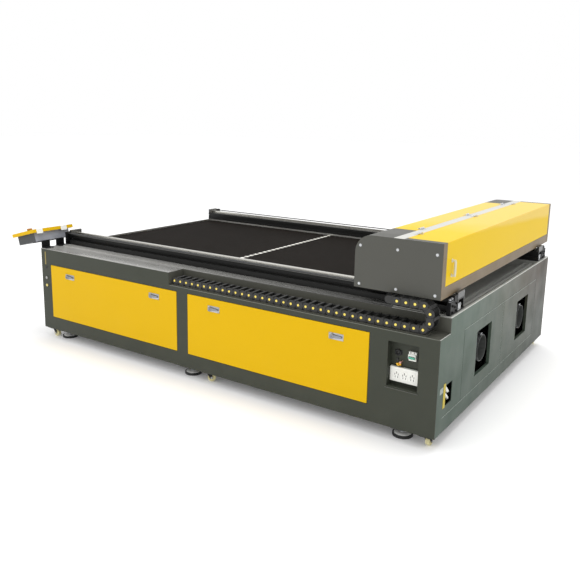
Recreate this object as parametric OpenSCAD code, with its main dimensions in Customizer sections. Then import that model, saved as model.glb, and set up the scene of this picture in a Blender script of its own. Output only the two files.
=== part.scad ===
// Large flat-bed carbon dioxide laser marking machine with a moving gantry.
// X runs along the cabinet from its left end, Y from its front face to the back, Z up from the floor.
// The origin is on the floor, in the middle of the machine's outer box.

/* [Cabinet] */
// Length of the cabinet
cab_l = 3000; // [2950:10:3300]
// Depth of the cabinet from its front face to its back
cab_w = 2040; // [1960:10:2200]
// Height of the cabinet from its underside to the deck
cab_h = 584; // [575:1:640]
// Height of the cabinet's underside above the floor
clear_h = 70; // [66:1:90]
// Thickness of the cabinet's sheet metal
sheet_t = 3; // [2:0.5:4]
// Side of the frame's square tubes
tube_s = 40; // [30:1:42]
// Wall of the frame's tubes
tube_wall = 3; // [2:0.5:4]
// Gap between neighbouring bars of the frame, before they are welded
weld_gap = 0.2; // [0.1:0.05:0.3]

/* [Chain ledge] */
// Start of the ledge, from the left end
ledge_x = 1250; // [1200:10:1300]
// Depth of the ledge from the front face
ledge_d = 131; // [110:1:135]
// Drop of the ledge below the deck
ledge_drop = 80; // [60:1:95]

/* [Doors] */
// From the left end to the left door
door_x = 100; // [80:1:120]
// Width of the left door
door_left_w = 1214; // [1180:1:1220]
// From the right end to the right door
door_right_in = 369; // [360:1:400]
// Width of the post between the doors
door_post = 86; // [70:1:100]
// Door openings' lower edge, above the underside
door_sill = 90; // [80:1:100]
// Height of the door openings
door_h = 384; // [360:1:390]
// Depth of a door's folded edges
door_d = 20; // [14:1:22]
// Gap around a door
door_gap = 3; // [2.8:0.1:4]
// Distance of a door's pivots from its lower front edge
pivot_in = 6; // [5:0.5:6.5]
// Radius of a pivot pin
pivot_r = 2.5; // [2:0.1:3]
// Distance from a door's side to the latch near it
latch_in = 186; // [150:1:200]
// Distance from a door's top to its latches
latch_drop = 62; // [55:1:66]

/* [Power recess] */
// From the right end to the recess
rec_x = 103; // [95:1:110]
// Width of the recess
rec_w = 164; // [160:1:180]
// Height of the recess
rec_h = 234; // [225:1:250]
// Lower edge of the recess, above the underside
rec_sill = 217; // [205:1:222]
// Depth of the recess
rec_d = 45; // [40:1:55]

/* [Right end] */
// Width of the corner panel
corner_w = 338; // [320:1:345]
// Width of the first service panel
serv_w1 = 674; // [660:1:680]
// Width of the second service panel
serv_w2 = 725; // [700:1:740]
// Height of the service panels
serv_h = 389; // [380:1:396]
// From the underside to the service panels
serv_sill = 82; // [76:1:90]
// Gap around a service panel
serv_gap = 3; // [2:0.5:4]
// Width of a window
win_w = 250; // [230:1:255]
// Height of a window
win_h = 256; // [240:1:262]
// From the first service panel's edge to its window
win_in1 = 209; // [200:1:220]
// From the second service panel's edge to its window
win_in2 = 296; // [280:1:310]
// Window's lower edge, above the underside
win_sill = 152; // [145:1:160]
// Width of the hose opening
hose_w = 86; // [80:1:94]
// Height of the hose opening
hose_h = 108; // [100:1:116]
// From the front face to the hose opening
hose_y = 115; // [105:1:122]
// Lower edge of the hose opening, above the underside
hose_sill = 135; // [127:1:143]

/* [Rails] */
// From the front face to the front rail beam
rail_in = 240; // [235:1:260]
// From the back to the rear rail beam
rail_back = 130; // [120:1:140]
// Width of a rail beam
beam_w = 100; // [90:1:110]
// Height of a rail beam
beam_h = 68; // [60:1:75]
// Width of a guide rail
guide_w = 20; // [16:1:24]
// Height of a guide rail
guide_h = 16; // [14:1:18]
// From the cabinet's ends to the rail beams' ends
rail_end = 15; // [10:1:18]
// Width of a drive belt
belt_w = 24; // [18:1:26]
// Thickness of a drive belt
belt_t = 3.5; // [3:0.1:4]

/* [Bed] */
// From the left end to the bed
bed_x = 30; // [28:1:40]
// From the right end to the bed
bed_right = 370; // [365:1:400]
// Thickness of the honeycomb
comb_t = 25; // [18:1:30]
// Height of the bed's rim above the deck
rim_h = 12; // [8:1:14]
// Width of the perforated centre bar
bar_w = 28; // [24:1:36]
// Diameter of the centre bar's holes
bar_hole = 14; // [10:1:16]

/* [Gantry] */
// From the cabinet's right end to the gantry, parked
gan_gap = 37; // [35:1:45]
// Width of the gantry along the cabinet
gan_w = 469; // [460:1:480]
// From the cabinet's back to the gantry's rear end plate, outwards
gan_back = 89; // [80:1:100]
// From the front face to the gantry's front end plate
gan_in = 67; // [60:1:80]
// Height of the gantry's housing
gan_h = 275; // [268:1:290]
// Gap between the guide rails' top and the gantry's floor
gan_lift = 9; // [8:0.5:10]
// Radius of the housing's upper left corner
corner_r = 92; // [85:1:98]
// Thickness of the housing's sheet
gan_t = 3; // [2:0.5:3.5]
// Thickness of the end plates
plate_t = 4; // [3:0.5:5]
// Width of the hinge strip
strip_w = 56; // [50:1:62]
// Height of the housing's right lower rail
low_rail = 58; // [50:1:62]
// Margin between the right lid and the end plates' outer faces
lid_in = 46; // [40:1:60]
// Margin between the left lid and the front end plate's outer face
lid_left_in = 288; // [270:1:300]
// Margin between the left lid and the rear end plate's outer face
lid_left_back = 244; // [230:1:260]
// Width of the gantry's inner beam
core_w = 80; // [70:1:86]
// Height of the gantry's inner beam
core_h = 120; // [110:1:130]

/* [Laser and head] */
// Radius of the laser tube
laser_r = 40; // [30:1:41]
// From the gantry's rear end plate to the laser tube's end
laser_back = 232; // [200:1:380]
// From the gantry's left side to the lens tube's axis
head_u = 100; // [96:1:104]
// From the gantry's rear end plate to the parked head
head_back = 429; // [418:1:442]
// Travel of the head along the gantry
head_run = 1300; // [1200:10:1310]
// Radius of the lens tube
lens_r = 25; // [20:1:27]
// Gap between the nozzle's tip and the bed
tip_gap = 8; // [7:0.5:20]

/* [Energy chain] */
// Distance between the chain's pins
pitch = 47.7; // [46:0.1:49]
// Height of the chain's links
chain_h = 46; // [44:1:47]
// Width of the chain
chain_w = 77; // [65:1:85]
// From the front face to the chain
chain_in = 20; // [15:1:24]
// Links in the lower run
n_lower = 34; // [33:1:34]
// Links in the upper run
n_upper = 4; // [3:1:5]
// Slope of the first link of the bend
bend_deg = 49; // [47:1:50]
// Thickness of the strip under the chain
liner_t = 5; // [3:0.5:5]

/* [Feet and casters] */
// From the left end to the left feet
foot_left = 160; // [155:1:180]
// From the left end to the middle feet
foot_mid = 1361; // [1300:1:1400]
// From the right end to the right feet
foot_right = 205; // [180:1:230]
// From the front and the back to the feet
foot_in = 95; // [90:1:110]
// Radius of a foot's rubber pad
foot_r = 54; // [45:1:56]
// From the left end to the left casters
cast_left = 60; // [55:1:62]
// From the left end to the middle casters
cast_mid = 1530; // [1500:1:1600]
// From the right end to the right casters
cast_right = 50; // [48:1:60]
// From the front and the back to the casters
cast_in = 48; // [46:1:50]
// Radius of a caster's wheel
wheel_r = 25; // [22:0.5:26]
// Gap between the casters and the floor while the feet carry the machine
cast_lift = 3; // [2:0.5:5]

/* [Electronics board] */
// From the right end to the board
board_in = 389; // [380:1:420]
// Width of the board
board_w = 860; // [830:5:900]
// Height of the board
board_h = 330; // [320:5:370]

/* [Console] */
// From the cabinet's left end to the console's right edge
con_gap = 40; // [35:1:50]
// From the front face to the console's case, forwards
con_out = 10; // [0:1:20]
// Width of the console's case down the slope
con_w = 205; // [190:1:230]
// Length of the console's case
con_l = 293; // [280:1:320]
// Height of the console's case
con_h = 64; // [58:1:70]
// Height of the console's cover
cover_h = 24; // [20:1:30]
// Overhang of the cover around the case
cover_lip = 25; // [15:1:30]
// Slope of the console
con_deg = 14.5; // [10:0.5:18]
// Height of the console's lower right edge above the deck
con_lift = 41; // [36:1:60]

/* [Hidden] */
$fn = 48;

// Running clearance of a pin or shaft in its bore, on the radius
run_gap = 0.1;
// Gap between neighbouring faces that move past each other
slip = 0.5;
// Radius of the screw heads on the end plates, and how far they stand out
screw_r = 7;
screw_out = 3;
// Thickness of the blank tags on the right end
tag_t = 1;

// Heights above the floor
deck_z = clear_h + cab_h;
ledge_z = deck_z - ledge_drop;
beam_z = deck_z + beam_h;
gan_z = beam_z + guide_h + gan_lift;
cross_z = ledge_z - sheet_t - tube_s;

// Cabinet stations
front_in = sheet_t;
back_in = cab_w - sheet_t;
left_in = sheet_t;
right_in = cab_l - sheet_t;
rail_ys = [rail_in, cab_w - rail_back - beam_w];
rail_x0 = rail_end;
rail_x1 = cab_l - rail_end;
bed_l = cab_l - bed_x - bed_right;
bed_x1 = bed_x + bed_l;
bed_y0 = rail_ys[0] + beam_w;
bed_y1 = rail_ys[1];
door_z = clear_h + door_sill;
door2_x = door_x + door_left_w + door_post;
mid_post_x = door_x + door_left_w + door_post / 2;
door_right_w = cab_l - door_right_in - door2_x;
doors = [[door_x, door_left_w], [door2_x, door_right_w]];
foot_xs = [foot_left, foot_mid, cab_l - foot_right];
cast_xs = [cast_left, cast_mid, cab_l - cast_right];
cast_turns = [0, 35, 90];

// Right end stations
serv_z = clear_h + serv_sill;
serv_y1 = corner_w;
serv_y2 = corner_w + serv_w1 + serv_gap;
win_ys = [serv_y1 + win_in1, serv_y2 + win_in2];
win_z = clear_h + win_sill;
blower_z = win_z + win_h / 2;
blower_r = win_w / 2 + 3;
duct_r = 75;
duct_l = 54;
duct_end = cab_l - 10;
blower_x1 = duct_end - duct_l;
blower_x0 = blower_x1 - 116;

// Gantry stations, from its left side (u), its front end plate (v) and its underside (w)
gan_x = cab_l - gan_gap - gan_w;
gan_l = cab_w + gan_back - gan_in;
head_park = gan_l - head_back;
strip_u0 = gan_w / 2 - strip_w / 2;
strip_u1 = strip_u0 + strip_w;
core_u1 = strip_u1 + 5;
core_u0 = core_u1 - core_w;
pad_t = 15;
core_w0 = gan_t + pad_t;
core_w1 = core_w0 + core_h;
rail_vs = [for (y = rail_ys) y - gan_in];
belt_side = 8 + belt_w / 2;
belt_ys = [rail_ys[0] - belt_side, rail_ys[1] + beam_w + belt_side];
belt_vs = [for (y = belt_ys) y - gan_in];
pulley_r = 26;
shaft_r = 10;
shaft_u = gan_w - gan_t - pulley_r - 3;
shaft_w = core_w0;
belt_z = gan_z + shaft_w - pulley_r - 0.3;
shaft_v0 = belt_vs[0] - belt_w / 2 - 8;
shaft_v1 = belt_vs[1] + belt_w / 2 + 26;
block_us = [70, gan_w - 129];
beam_path_w = core_w1 + 50;
laser_u = strip_u1 + laser_r + 58;
laser_v0 = 180;
laser_l = gan_l - laser_v0 - laser_back;
mirror_v = 95;
tip_w = deck_z + tip_gap - gan_z;
rail_s = 15;
rail_w = core_w0 + 52;
plate_u = core_u0 - rail_s - 24;

// Chain stations
chain_z = ledge_z + liner_t + chain_h / 2;
chain_x = cab_l - 99 - n_lower * pitch;
bend_x = chain_x + n_lower * pitch;
bend_dirs = [bend_deg, 90, 180 - bend_deg];
upper_x = bend_x;
upper_z = chain_z + pitch * (2 * sin(bend_deg) + 1);
ear_r = chain_h / 2 - 3;
lane_t = 3.5;

// Console stations
con_y = -con_out;
con_z = deck_z + con_lift;

// Outer box and origin
left_reach = -con_gap - (con_w + cover_lip) * cos(con_deg) - (con_h + cover_h) * sin(con_deg);
front_reach = con_y - cover_lip;
back_reach = gan_in + gan_l + screw_out;
mid_x = (left_reach + cab_l + tag_t) / 2;
mid_y = (front_reach + back_reach) / 2;

module place() { translate([-mid_x, -mid_y, 0]) children(); }

module at_gantry() { place() translate([gan_x, gan_in, gan_z]) children(); }

module at_console() {
    place() translate([-con_gap, con_y, con_z]) rotate([0, -con_deg, 0]) children();
}

// A box between two opposite corners
module block(lo, hi) { translate(lo) cube([hi.x - lo.x, hi.y - lo.y, hi.z - lo.z]); }

module rod_x(p, r, l) { translate(p) rotate([0, 90, 0]) cylinder(h = l, r = r); }
module rod_y(p, r, l) { translate(p) rotate([-90, 0, 0]) cylinder(h = l, r = r); }
module rod_z(p, r, l) { translate(p) cylinder(h = l, r = r); }

// Square tubes from a low corner, along each axis
module tube_x(p, l, h = tube_s) {
    difference() {
        translate(p) cube([l, tube_s, h]);
        translate([p.x - 1, p.y + tube_wall, p.z + tube_wall])
            cube([l + 2, tube_s - 2 * tube_wall, h - 2 * tube_wall]);
    }
}
module tube_y(p, l) {
    difference() {
        translate(p) cube([tube_s, l, tube_s]);
        translate([p.x + tube_wall, p.y - 1, p.z + tube_wall])
            cube([tube_s - 2 * tube_wall, l + 2, tube_s - 2 * tube_wall]);
    }
}
module tube_z(p, l) {
    difference() {
        translate(p) cube([tube_s, tube_s, l]);
        translate([p.x + tube_wall, p.y + tube_wall, p.z - 1])
            cube([tube_s - 2 * tube_wall, tube_s - 2 * tube_wall, l + 2]);
    }
}

// ---- Cabinet ----

boss_h = 16;
foot_stem = 8;
king_r = 6;
cast_plate = 4;

// Plate under the frame with a hole for a foot's stem or a caster's pin
module mount_plate(x, y, back, hole_r) {
    y0 = back ? cab_w - front_in - foot_in - 40 : front_in;
    difference() {
        union() {
            block([x - 30, y0, clear_h - cast_plate], [x + 30, y0 + foot_in + 40, clear_h - weld_gap]);
            if (hole_r > king_r + run_gap)
                rod_z([x, y, clear_h - boss_h], 15, boss_h - cast_plate + 1);
        }
        rod_z([x, y, clear_h - boss_h - 1], hole_r, boss_h + 1);
    }
}

stand_x = blower_x0 + 30;
floor_t = 2;

// Welded frame: every bar is a solid of its own
module base_frame() {
    post_xs = [left_in, mid_post_x - tube_s / 2, right_in - tube_s];
    cross_xs = [post_xs[0], post_xs[1], stand_x, post_xs[2]];
    long_ys = [front_in, back_in - tube_s];
    post_z = clear_h + tube_s + weld_gap;
    span_y0 = long_ys[0] + tube_s + weld_gap;
    span_y1 = long_ys[1] - weld_gap;
    top_z = cross_z + tube_s + weld_gap;
    color("dimgray") place() {
        for (y = long_ys)
            tube_x([left_in, y, clear_h], right_in - left_in);
        for (x = cross_xs)
            tube_y([x, span_y0, clear_h], span_y1 - span_y0);
        // Floor sheets between the lower bars
        for (i = [0 : 2])
            block([cross_xs[i] + tube_s + weld_gap, span_y0, clear_h],
                  [cross_xs[i + 1] - weld_gap, span_y1, clear_h + floor_t]);
        for (x = post_xs) {
            tube_y([x, front_in, cross_z], back_in - front_in);
            for (y = long_ys)
                tube_z([x, y, post_z], cross_z - weld_gap - post_z);
        }
        // Header behind the doors' upper edge
        for (i = [0, 1])
            tube_x([post_xs[i] + tube_s + weld_gap, front_in + tube_s + 7, cross_z],
                   post_xs[i + 1] - post_xs[i] - tube_s - 2 * weld_gap);
        // Carriers of the rail beams
        for (y = rail_ys)
            tube_x([left_in, y + beam_w / 2 - tube_s / 2, top_z],
                   right_in - left_in, deck_z - sheet_t - top_z);
        // Plate that holds the hose tails
        block([right_in - tube_s, hose_y - 15, post_z],
              [right_in - tube_s + 3, hose_y + hose_w + 15, clear_h + hose_sill + hose_h + 10]);
        for (back = [false, true]) {
            for (x = foot_xs)
                mount_plate(x, back ? cab_w - foot_in : foot_in, back, foot_stem + run_gap);
            for (x = cast_xs)
                mount_plate(x, back ? cab_w - cast_in : cast_in, back, king_r + run_gap);
        }
    }
}

post_x = 52;
post_r = 8;
port_dz = 450;
grey_dz = 374;
amber_dz = 319;

// Folded edge around an opening in the front panel
module opening_edge(x, z, w, h, d) {
    difference() {
        block([x - sheet_t, front_in, z - sheet_t], [x + w + sheet_t, d, z + h + sheet_t]);
        block([x, 0, z], [x + w, d + 1, z + h]);
    }
}

module front_panel() {
    rec_x0 = cab_l - rec_x - rec_w;
    color("dimgray") place() {
        difference() {
            union() {
                block([0, 0, clear_h], [ledge_x, sheet_t, deck_z - sheet_t]);
                block([ledge_x - 1, 0, clear_h], [cab_l, sheet_t, ledge_z - sheet_t]);
                for (d = doors)
                    opening_edge(d[0], door_z, d[1], door_h, door_d);
            }
            for (d = doors)
                block([d[0], -1, door_z], [d[0] + d[1], sheet_t + 1, door_z + door_h]);
            block([rec_x0, -1, clear_h + rec_sill],
                  [rec_x0 + rec_w, sheet_t + 1, clear_h + rec_sill + rec_h]);
            for (dz = [port_dz, grey_dz, amber_dz])
                rod_y([post_x, -1, clear_h + dz], post_r + run_gap, sheet_t + 2);
        }
        // Pivot pins of the doors
        for (d = doors) {
            rod_x([d[0] - 1, pivot_in - 1, door_z + door_gap + pivot_in], pivot_r, door_gap + 11);
            rod_x([d[0] + d[1] - door_gap - 10, pivot_in - 1, door_z + door_gap + pivot_in],
                  pivot_r, door_gap + 11);
        }
    }
}

// A row of upright vent slots, cut along X or Y
module vents_x(x, y, z, n) {
    for (i = [0 : n - 1])
        block([x + i * 24, y - 1, z], [x + i * 24 + 8, y + sheet_t + 1, z + 90]);
}
module vents_y(x, y, z, n) {
    for (i = [0 : n - 1])
        block([x - 1, y + i * 24, z], [x + sheet_t + 1, y + i * 24 + 8, z + 90]);
}

module rear_and_left_panels() {
    inner = 1.4;
    color("dimgray") place() difference() {
        block([0, cab_w - sheet_t, clear_h], [cab_l, cab_w, deck_z - sheet_t]);
        // Seams of the two lift-off service panels
        for (d = doors) difference() {
            block([d[0], cab_w - inner, door_z], [d[0] + d[1], cab_w + 1, door_z + door_h]);
            block([d[0] + 4, cab_w - inner - 1, door_z + 4],
                  [d[0] + d[1] - 4, cab_w + 2, door_z + door_h - 4]);
        }
        for (d = doors)
            vents_x(d[0] + d[1] / 2 - 140, cab_w - sheet_t, door_z + door_h - 150, 12);
    }
    color("dimgray") place() difference() {
        block([0, front_in, clear_h], [sheet_t, back_in, deck_z - sheet_t]);
        vents_y(0, cab_w * 0.25 - 80, door_z + door_h - 150, 8);
        vents_y(0, cab_w * 0.75 - 80, door_z + door_h - 150, 8);
    }
}

module service_panel(y, w, win_y) {
    difference() {
        block([right_in, y + serv_gap, serv_z], [cab_l, y + w, serv_z + serv_h]);
        block([right_in - 1, win_y, win_z], [cab_l + 1, win_y + win_w, win_z + win_h]);
    }
    // Folded edge of the window
    difference() {
        block([right_in - 14, win_y - 2, win_z - 2], [right_in, win_y + win_w + 2, win_z + win_h + 2]);
        block([right_in - 15, win_y, win_z], [right_in + 1, win_y + win_w, win_z + win_h]);
    }
}

module right_end_panels() {
    serv_end = serv_y2 + serv_w2;
    color("darkslategray") place() {
        difference() {
            block([right_in, front_in, clear_h], [cab_l, back_in, deck_z - sheet_t]);
            block([right_in - 1, -1, ledge_z - sheet_t], [cab_l + 1, ledge_d + sheet_t, deck_z]);
            block([right_in - 1, serv_y1, serv_z - serv_gap],
                  [cab_l + 1, serv_y2, serv_z + serv_h + serv_gap]);
            block([right_in - 1, serv_y2, serv_z - serv_gap],
                  [cab_l + 1, serv_end + serv_gap, serv_z + serv_h + serv_gap]);
            block([right_in - 1, hose_y, clear_h + hose_sill],
                  [cab_l + 1, hose_y + hose_w, clear_h + hose_sill + hose_h]);
        }
        // Strips behind the seams
        block([right_in - 2, serv_y1 - 10, serv_z - 12], [right_in, serv_end + 12, serv_z + 8]);
        for (y = [serv_y1 - 10, serv_y2 - 9, serv_end - 8])
            block([right_in - 2, y, serv_z + 8], [right_in, y + 20, cross_z - 2]);
        service_panel(serv_y1, serv_w1, win_ys[0]);
        service_panel(serv_y2, serv_w2, win_ys[1]);
        // Blank tags beside and above the hose opening
        block([cab_l, hose_y - 32, clear_h + hose_sill - 5],
              [cab_l + tag_t, hose_y - 4, clear_h + hose_sill + 122]);
        block([cab_l, hose_y - 80, clear_h + hose_sill + 82],
              [cab_l + tag_t, hose_y - 38, clear_h + hose_sill + 112]);
    }
}

trough_x0 = bed_x1 + 50;
trough_x1 = cab_l - 15;
trough_d = 45;
rib_h = 6;

module deck() {
    z0 = deck_z - sheet_t;
    color("gray") place() {
        difference() {
            block([0, 0, z0], [cab_l, cab_w, deck_z]);
            block([ledge_x, -1, z0 - 1], [cab_l + 1, ledge_d, deck_z + 1]);
            block([bed_x, bed_y0, z0 - 1], [bed_x1, bed_y1, deck_z + 1]);
            block([trough_x0, bed_y0 + 5, z0 - 1], [trough_x1, bed_y1 - 5, deck_z + 1]);
        }
        // Raised rib along the front rail
        block([rail_x0 + step_in, ledge_d + 19, deck_z],
              [rail_x1 - step_in, rail_in - step_s - 4, deck_z + rib_h]);
        // Trough at the right end
        difference() {
            block([trough_x0 - 2, bed_y0 + 3, deck_z - trough_d], [trough_x1 + 2, bed_y1 - 3, z0]);
            block([trough_x0, bed_y0 + 5, deck_z - trough_d + 2], [trough_x1, bed_y1 - 5, deck_z]);
        }
        for (x = [trough_x1 - 95, trough_x1 - 50])
            block([x, bed_y0 + 5, deck_z - trough_d + 2], [x + 18, bed_y1 - 5, deck_z - trough_d + 26]);
    }
}

module chain_tray() {
    color("dimgray") place() {
        block([ledge_x, 0, ledge_z - sheet_t], [cab_l, ledge_d + sheet_t, ledge_z]);
        block([ledge_x, ledge_d, ledge_z], [cab_l, ledge_d + sheet_t, deck_z - sheet_t]);
        block([ledge_x - sheet_t, sheet_t, ledge_z - sheet_t],
              [ledge_x, ledge_d + sheet_t, deck_z - sheet_t]);
        block([ledge_x + 12, chain_in - 2, ledge_z],
              [bend_x + 20, chain_in + chain_w + 2, ledge_z + liner_t]);
    }
}

step_s = 35;
step_in = 40;

module rail_beams() {
    color("#2b2b2a") place() {
        for (y = [rail_ys[0] - step_s, rail_ys[1] + beam_w]) difference() {
            block([rail_x0 + step_in, y, deck_z], [rail_x1 - step_in, y + step_s, deck_z + step_s]);
            block([rail_x0, y + 3, deck_z + 3], [rail_x1, y + step_s - 3, deck_z + step_s - 3]);
            for (x = [ledge_x - 560, ledge_x - 300, ledge_x + 440])
                block([x, y + step_s / 2 - 4, deck_z], [x + 90, y + step_s / 2 + 4, deck_z + step_s + 1]);
        }
        for (y = rail_ys) rail_beam(y);
    }
}

module rail_beam(y) {
    difference() {
        block([rail_x0, y, deck_z], [rail_x1, y + beam_w, beam_z]);
        // Grooves of the profile, on both sides
        for (g = [y - 1, y + beam_w - 9])
            block([rail_x0 - 1, g, deck_z + beam_h / 2 - 8],
                  [rail_x1 + 1, g + 10, deck_z + beam_h / 2 + 16]);
        block([rail_x0 - 1, y + 16, deck_z + 8], [rail_x1 + 1, y + beam_w - 16, beam_z - 8]);
    }
}

stop_l = 15;

module guide_rails() {
    color("silver") place() for (y = rail_ys) {
        block([rail_x0 + stop_l, y + beam_w / 2 - guide_w / 2, beam_z],
              [rail_x1 - stop_l, y + beam_w / 2 + guide_w / 2, beam_z + guide_h]);
        // End stops
        for (x = [rail_x0, rail_x1 - stop_l])
            block([x, y + 2, beam_z], [x + stop_l, y + beam_w - 2, beam_z + guide_h * 2]);
    }
}

tens_l = 20;
tens_w = 90;

// Block that clamps one end of a belt and pulls it tight; side is the way out from the rail beam
module tensioner(x, i, wide) {
    side = i == 0 ? -1 : 1;
    root_y = belt_ys[i] - side * belt_side;
    cheek = belt_side + belt_w / 2 + 8;
    top = belt_z + 7.5;
    translate([0, root_y, 0]) mirror([0, side < 0 ? 1 : 0, 0]) difference() {
        union() {
            block([x, 0, deck_z], [x + tens_l, cheek, top]);
            if (wide) {
                block([x, 0, deck_z], [x + tens_l, tens_w, top - 25]);
                // Adjusting bolts
                for (t = [cheek + 10, tens_w - 10])
                    rod_z([x + tens_l / 2, t, top - 25], 4, 14);
            }
        }
        block([x - 1, belt_side - belt_w / 2 - 0.5, belt_z - belt_t - 0.5],
              [x + tens_l + 1, belt_side + belt_w / 2 + 0.5, belt_z + 0.5]);
    }
}

module belt_tensioners() {
    color("#1d1d1d") place() for (i = [0, 1]) {
        tensioner(rail_x0 + 1, i, false);
        tensioner(rail_x1 - tens_l - 1, i, true);
    }
}

module drive_belts() {
    color("#151515") place() for (y = belt_ys)
        block([rail_x0 + 1, y - belt_w / 2, belt_z - belt_t], [rail_x1 - 1, y + belt_w / 2, belt_z]);
}

rim_t = 3;
comb_z = deck_z - comb_t;
bar_x = bed_x + bed_l / 2;

module bed_rim() {
    shelf = 25;
    color("lightgray") place() difference() {
        block([bed_x, bed_y0, comb_z - rim_t], [bed_x1, bed_y1, deck_z + rim_h]);
        block([bed_x + rim_t, bed_y0 + rim_t, comb_z],
              [bed_x1 - rim_t, bed_y1 - rim_t, deck_z + rim_h + 1]);
        block([bed_x + shelf, bed_y0 + shelf, comb_z - rim_t - 1],
              [bed_x1 - shelf, bed_y1 - shelf, comb_z + 1]);
    }
}

module honeycomb_panels() {
    color("#26231f") place() for (span = [
        [bed_x + rim_t + 1, bar_x - bar_w / 2 - 1],
        [bar_x + bar_w / 2 + 1, bed_x1 - rim_t - 1]
    ])
        block([span[0], bed_y0 + rim_t + 1, comb_z], [span[1], bed_y1 - rim_t - 1, deck_z]);
}

module centre_bar() {
    holes = 24;
    step = (bed_y1 - bed_y0 - 2 * rim_t) / holes;
    color("silver") place() difference() {
        block([bar_x - bar_w / 2, bed_y0 + rim_t + 1, comb_z],
              [bar_x + bar_w / 2, bed_y1 - rim_t - 1, deck_z]);
        for (i = [0 : holes - 1])
            rod_z([bar_x, bed_y0 + rim_t + (i + 0.5) * step, comb_z - 1], bar_hole / 2, comb_t + 2);
    }
}

module waste_chute() {
    y0 = front_in + tube_s + 30;
    y1 = bed_y1 - 20;
    z0 = door_z + 8;
    z1 = cross_z - 14;
    run = sqrt(pow(y1 - y0, 2) + pow(z1 - z0, 2));
    rise = atan((z1 - z0) / (y1 - y0));
    color("silver") place() translate([bed_x + 20, y0, z0]) rotate([rise, 0, 0]) {
        block([0, 0, 0], [bed_l - 60, run, 2]);
        for (x = [0, bed_l - 62])
            block([x, 0, 2], [x + 2, run - 30, 16]);
    }
    // Straps up to the middle cross tube
    color("silver") place() for (y = [y0 + 0.3 * (y1 - y0), y0 + 0.8 * (y1 - y0)])
        block([mid_post_x - 1.5, y, z0 + (y - y0) * tan(rise)], [mid_post_x + 1.5, y + 40, cross_z]);
}

module electronics_plate() {
    x0 = cab_l - board_in - board_w;
    y0 = back_in - tube_s - 6;
    z0 = clear_h + tube_s;
    color("silver") place() {
        block([x0, y0, z0], [x0 + board_w, y0 + 3, z0 + board_h]);
        // Laser power supply, controller, two drivers and a 24 V supply
        block([x0 + 30, y0 - 150, z0 + 30], [x0 + 200, y0, z0 + 300]);
        block([x0 + 260, y0 - 60, z0 + 120], [x0 + 440, y0, z0 + 300]);
        for (x = [x0 + 490, x0 + 590])
            block([x, y0 - 80, z0 + 140], [x + 60, y0, z0 + 290]);
        block([x0 + 700, y0 - 50, z0 + 100], [x0 + 810, y0, z0 + 310]);
    }
}

module blower_housing(y) {
    pod_r = 35;
    translate([0, y, blower_z]) {
        difference() {
            rod_x([blower_x0, 0, 0], blower_r, blower_x1 - blower_x0);
            rod_x([blower_x0 - 1, 0, 0], blower_r - 4, blower_x1 - blower_x0 - 2);
            rod_x([blower_x1 - 5, 0, 0], duct_r - 3, 10);
        }
        difference() {
            rod_x([blower_x1 - 1, 0, 0], duct_r, duct_l + 1);
            rod_x([blower_x1 - 2, 0, 0], duct_r - 3, duct_l + 3);
        }
        difference() {
            union() {
                rod_x([blower_x0 + 3, 0, 0], pod_r, 32);
                for (a = [0, 120, 240])
                    rotate([a, 0, 0])
                        block([blower_x0 + 3, -6, pod_r - 2], [blower_x0 + 11, 6, blower_r - 2]);
            }
            rod_x([blower_x0 + 15, 0, 0], 6 + run_gap, 21);
        }
    }
    block([stand_x + 5, y - 60, clear_h + tube_s], [stand_x + 35, y + 60, blower_z - blower_r + 14]);
}

module blower_housings() {
    color("#3a3d3c") place() difference() {
        for (y = win_ys) blower_housing(y + win_w / 2);
        for (y = win_ys)
            rod_x([blower_x0 + 36, y + win_w / 2, blower_z], blower_r - 4, 60);
    }
}

module blower_wheel(i) {
    blades = 8;
    tip = blower_r - 10;
    color("#26282a") place() translate([blower_x0 + 40, win_ys[i] + win_w / 2, blower_z]) {
        rod_x([0, 0, 0], 34, 56);
        rod_x([-22, 0, 0], 6, 23);
        for (a = [0 : 360 / blades : 359])
            rotate([a, 0, 0]) block([4, -2, 30], [50, 2, tip]);
    }
}
module blower_wheel_1() { blower_wheel(0); }
module blower_wheel_2() { blower_wheel(1); }

// ---- Power recess and small fittings ----

rec_x0 = cab_l - rec_x - rec_w;
rec_z0 = clear_h + rec_sill;
rec_back = front_in + rec_d;

module power_recess() {
    t = 2;
    color("#3a3b38") place() {
        difference() {
            block([rec_x0 - t, front_in, rec_z0 - t],
                  [rec_x0 + rec_w + t, rec_back + t, rec_z0 + rec_h + t]);
            block([rec_x0, 0, rec_z0], [rec_x0 + rec_w, rec_back, rec_z0 + rec_h]);
        }
        // Drip lip below the recess
        block([rec_x0 - 6, -4, rec_z0 - 10], [rec_x0 + rec_w + 6, 0, rec_z0 - 7]);
    }
}

plate_w = 159;
plate_h = 76;
plate_x = rec_x0 + (rec_w - plate_w) / 2;
plate_z = rec_z0 + 20;
plate_d = 19;

module outlet_plate() {
    face = rec_back - plate_d;
    difference() {
        block([plate_x, face, plate_z], [plate_x + plate_w, rec_back, plate_z + plate_h]);
        for (i = [0 : 2]) {
            x = plate_x + plate_w / 2 + (i - 1) * 42;
            z = plate_z + plate_h / 2;
            block([x - 1.5, face - 1, z + 4], [x + 1.5, face + 10, z + 14]);
            for (s = [-1, 1]) {
                block([x + s * 9 - 1.5, face - 1, z - 4], [x + s * 9 + 1.5, face + 10, z + 5]);
                block([x + s * 7 - 1.3, face - 1, z - 18], [x + s * 7 + 1.3, face + 10, z - 9]);
            }
        }
    }
}

breaker_w = 40;
breaker_h = 46;
breaker_x = rec_x0 + rec_w - breaker_w - 27;
breaker_z = rec_z0 + rec_h - breaker_h - 46;
toggle_w = 30;
toggle_y = rec_back - 16;
toggle_z = breaker_z + 14;

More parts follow.
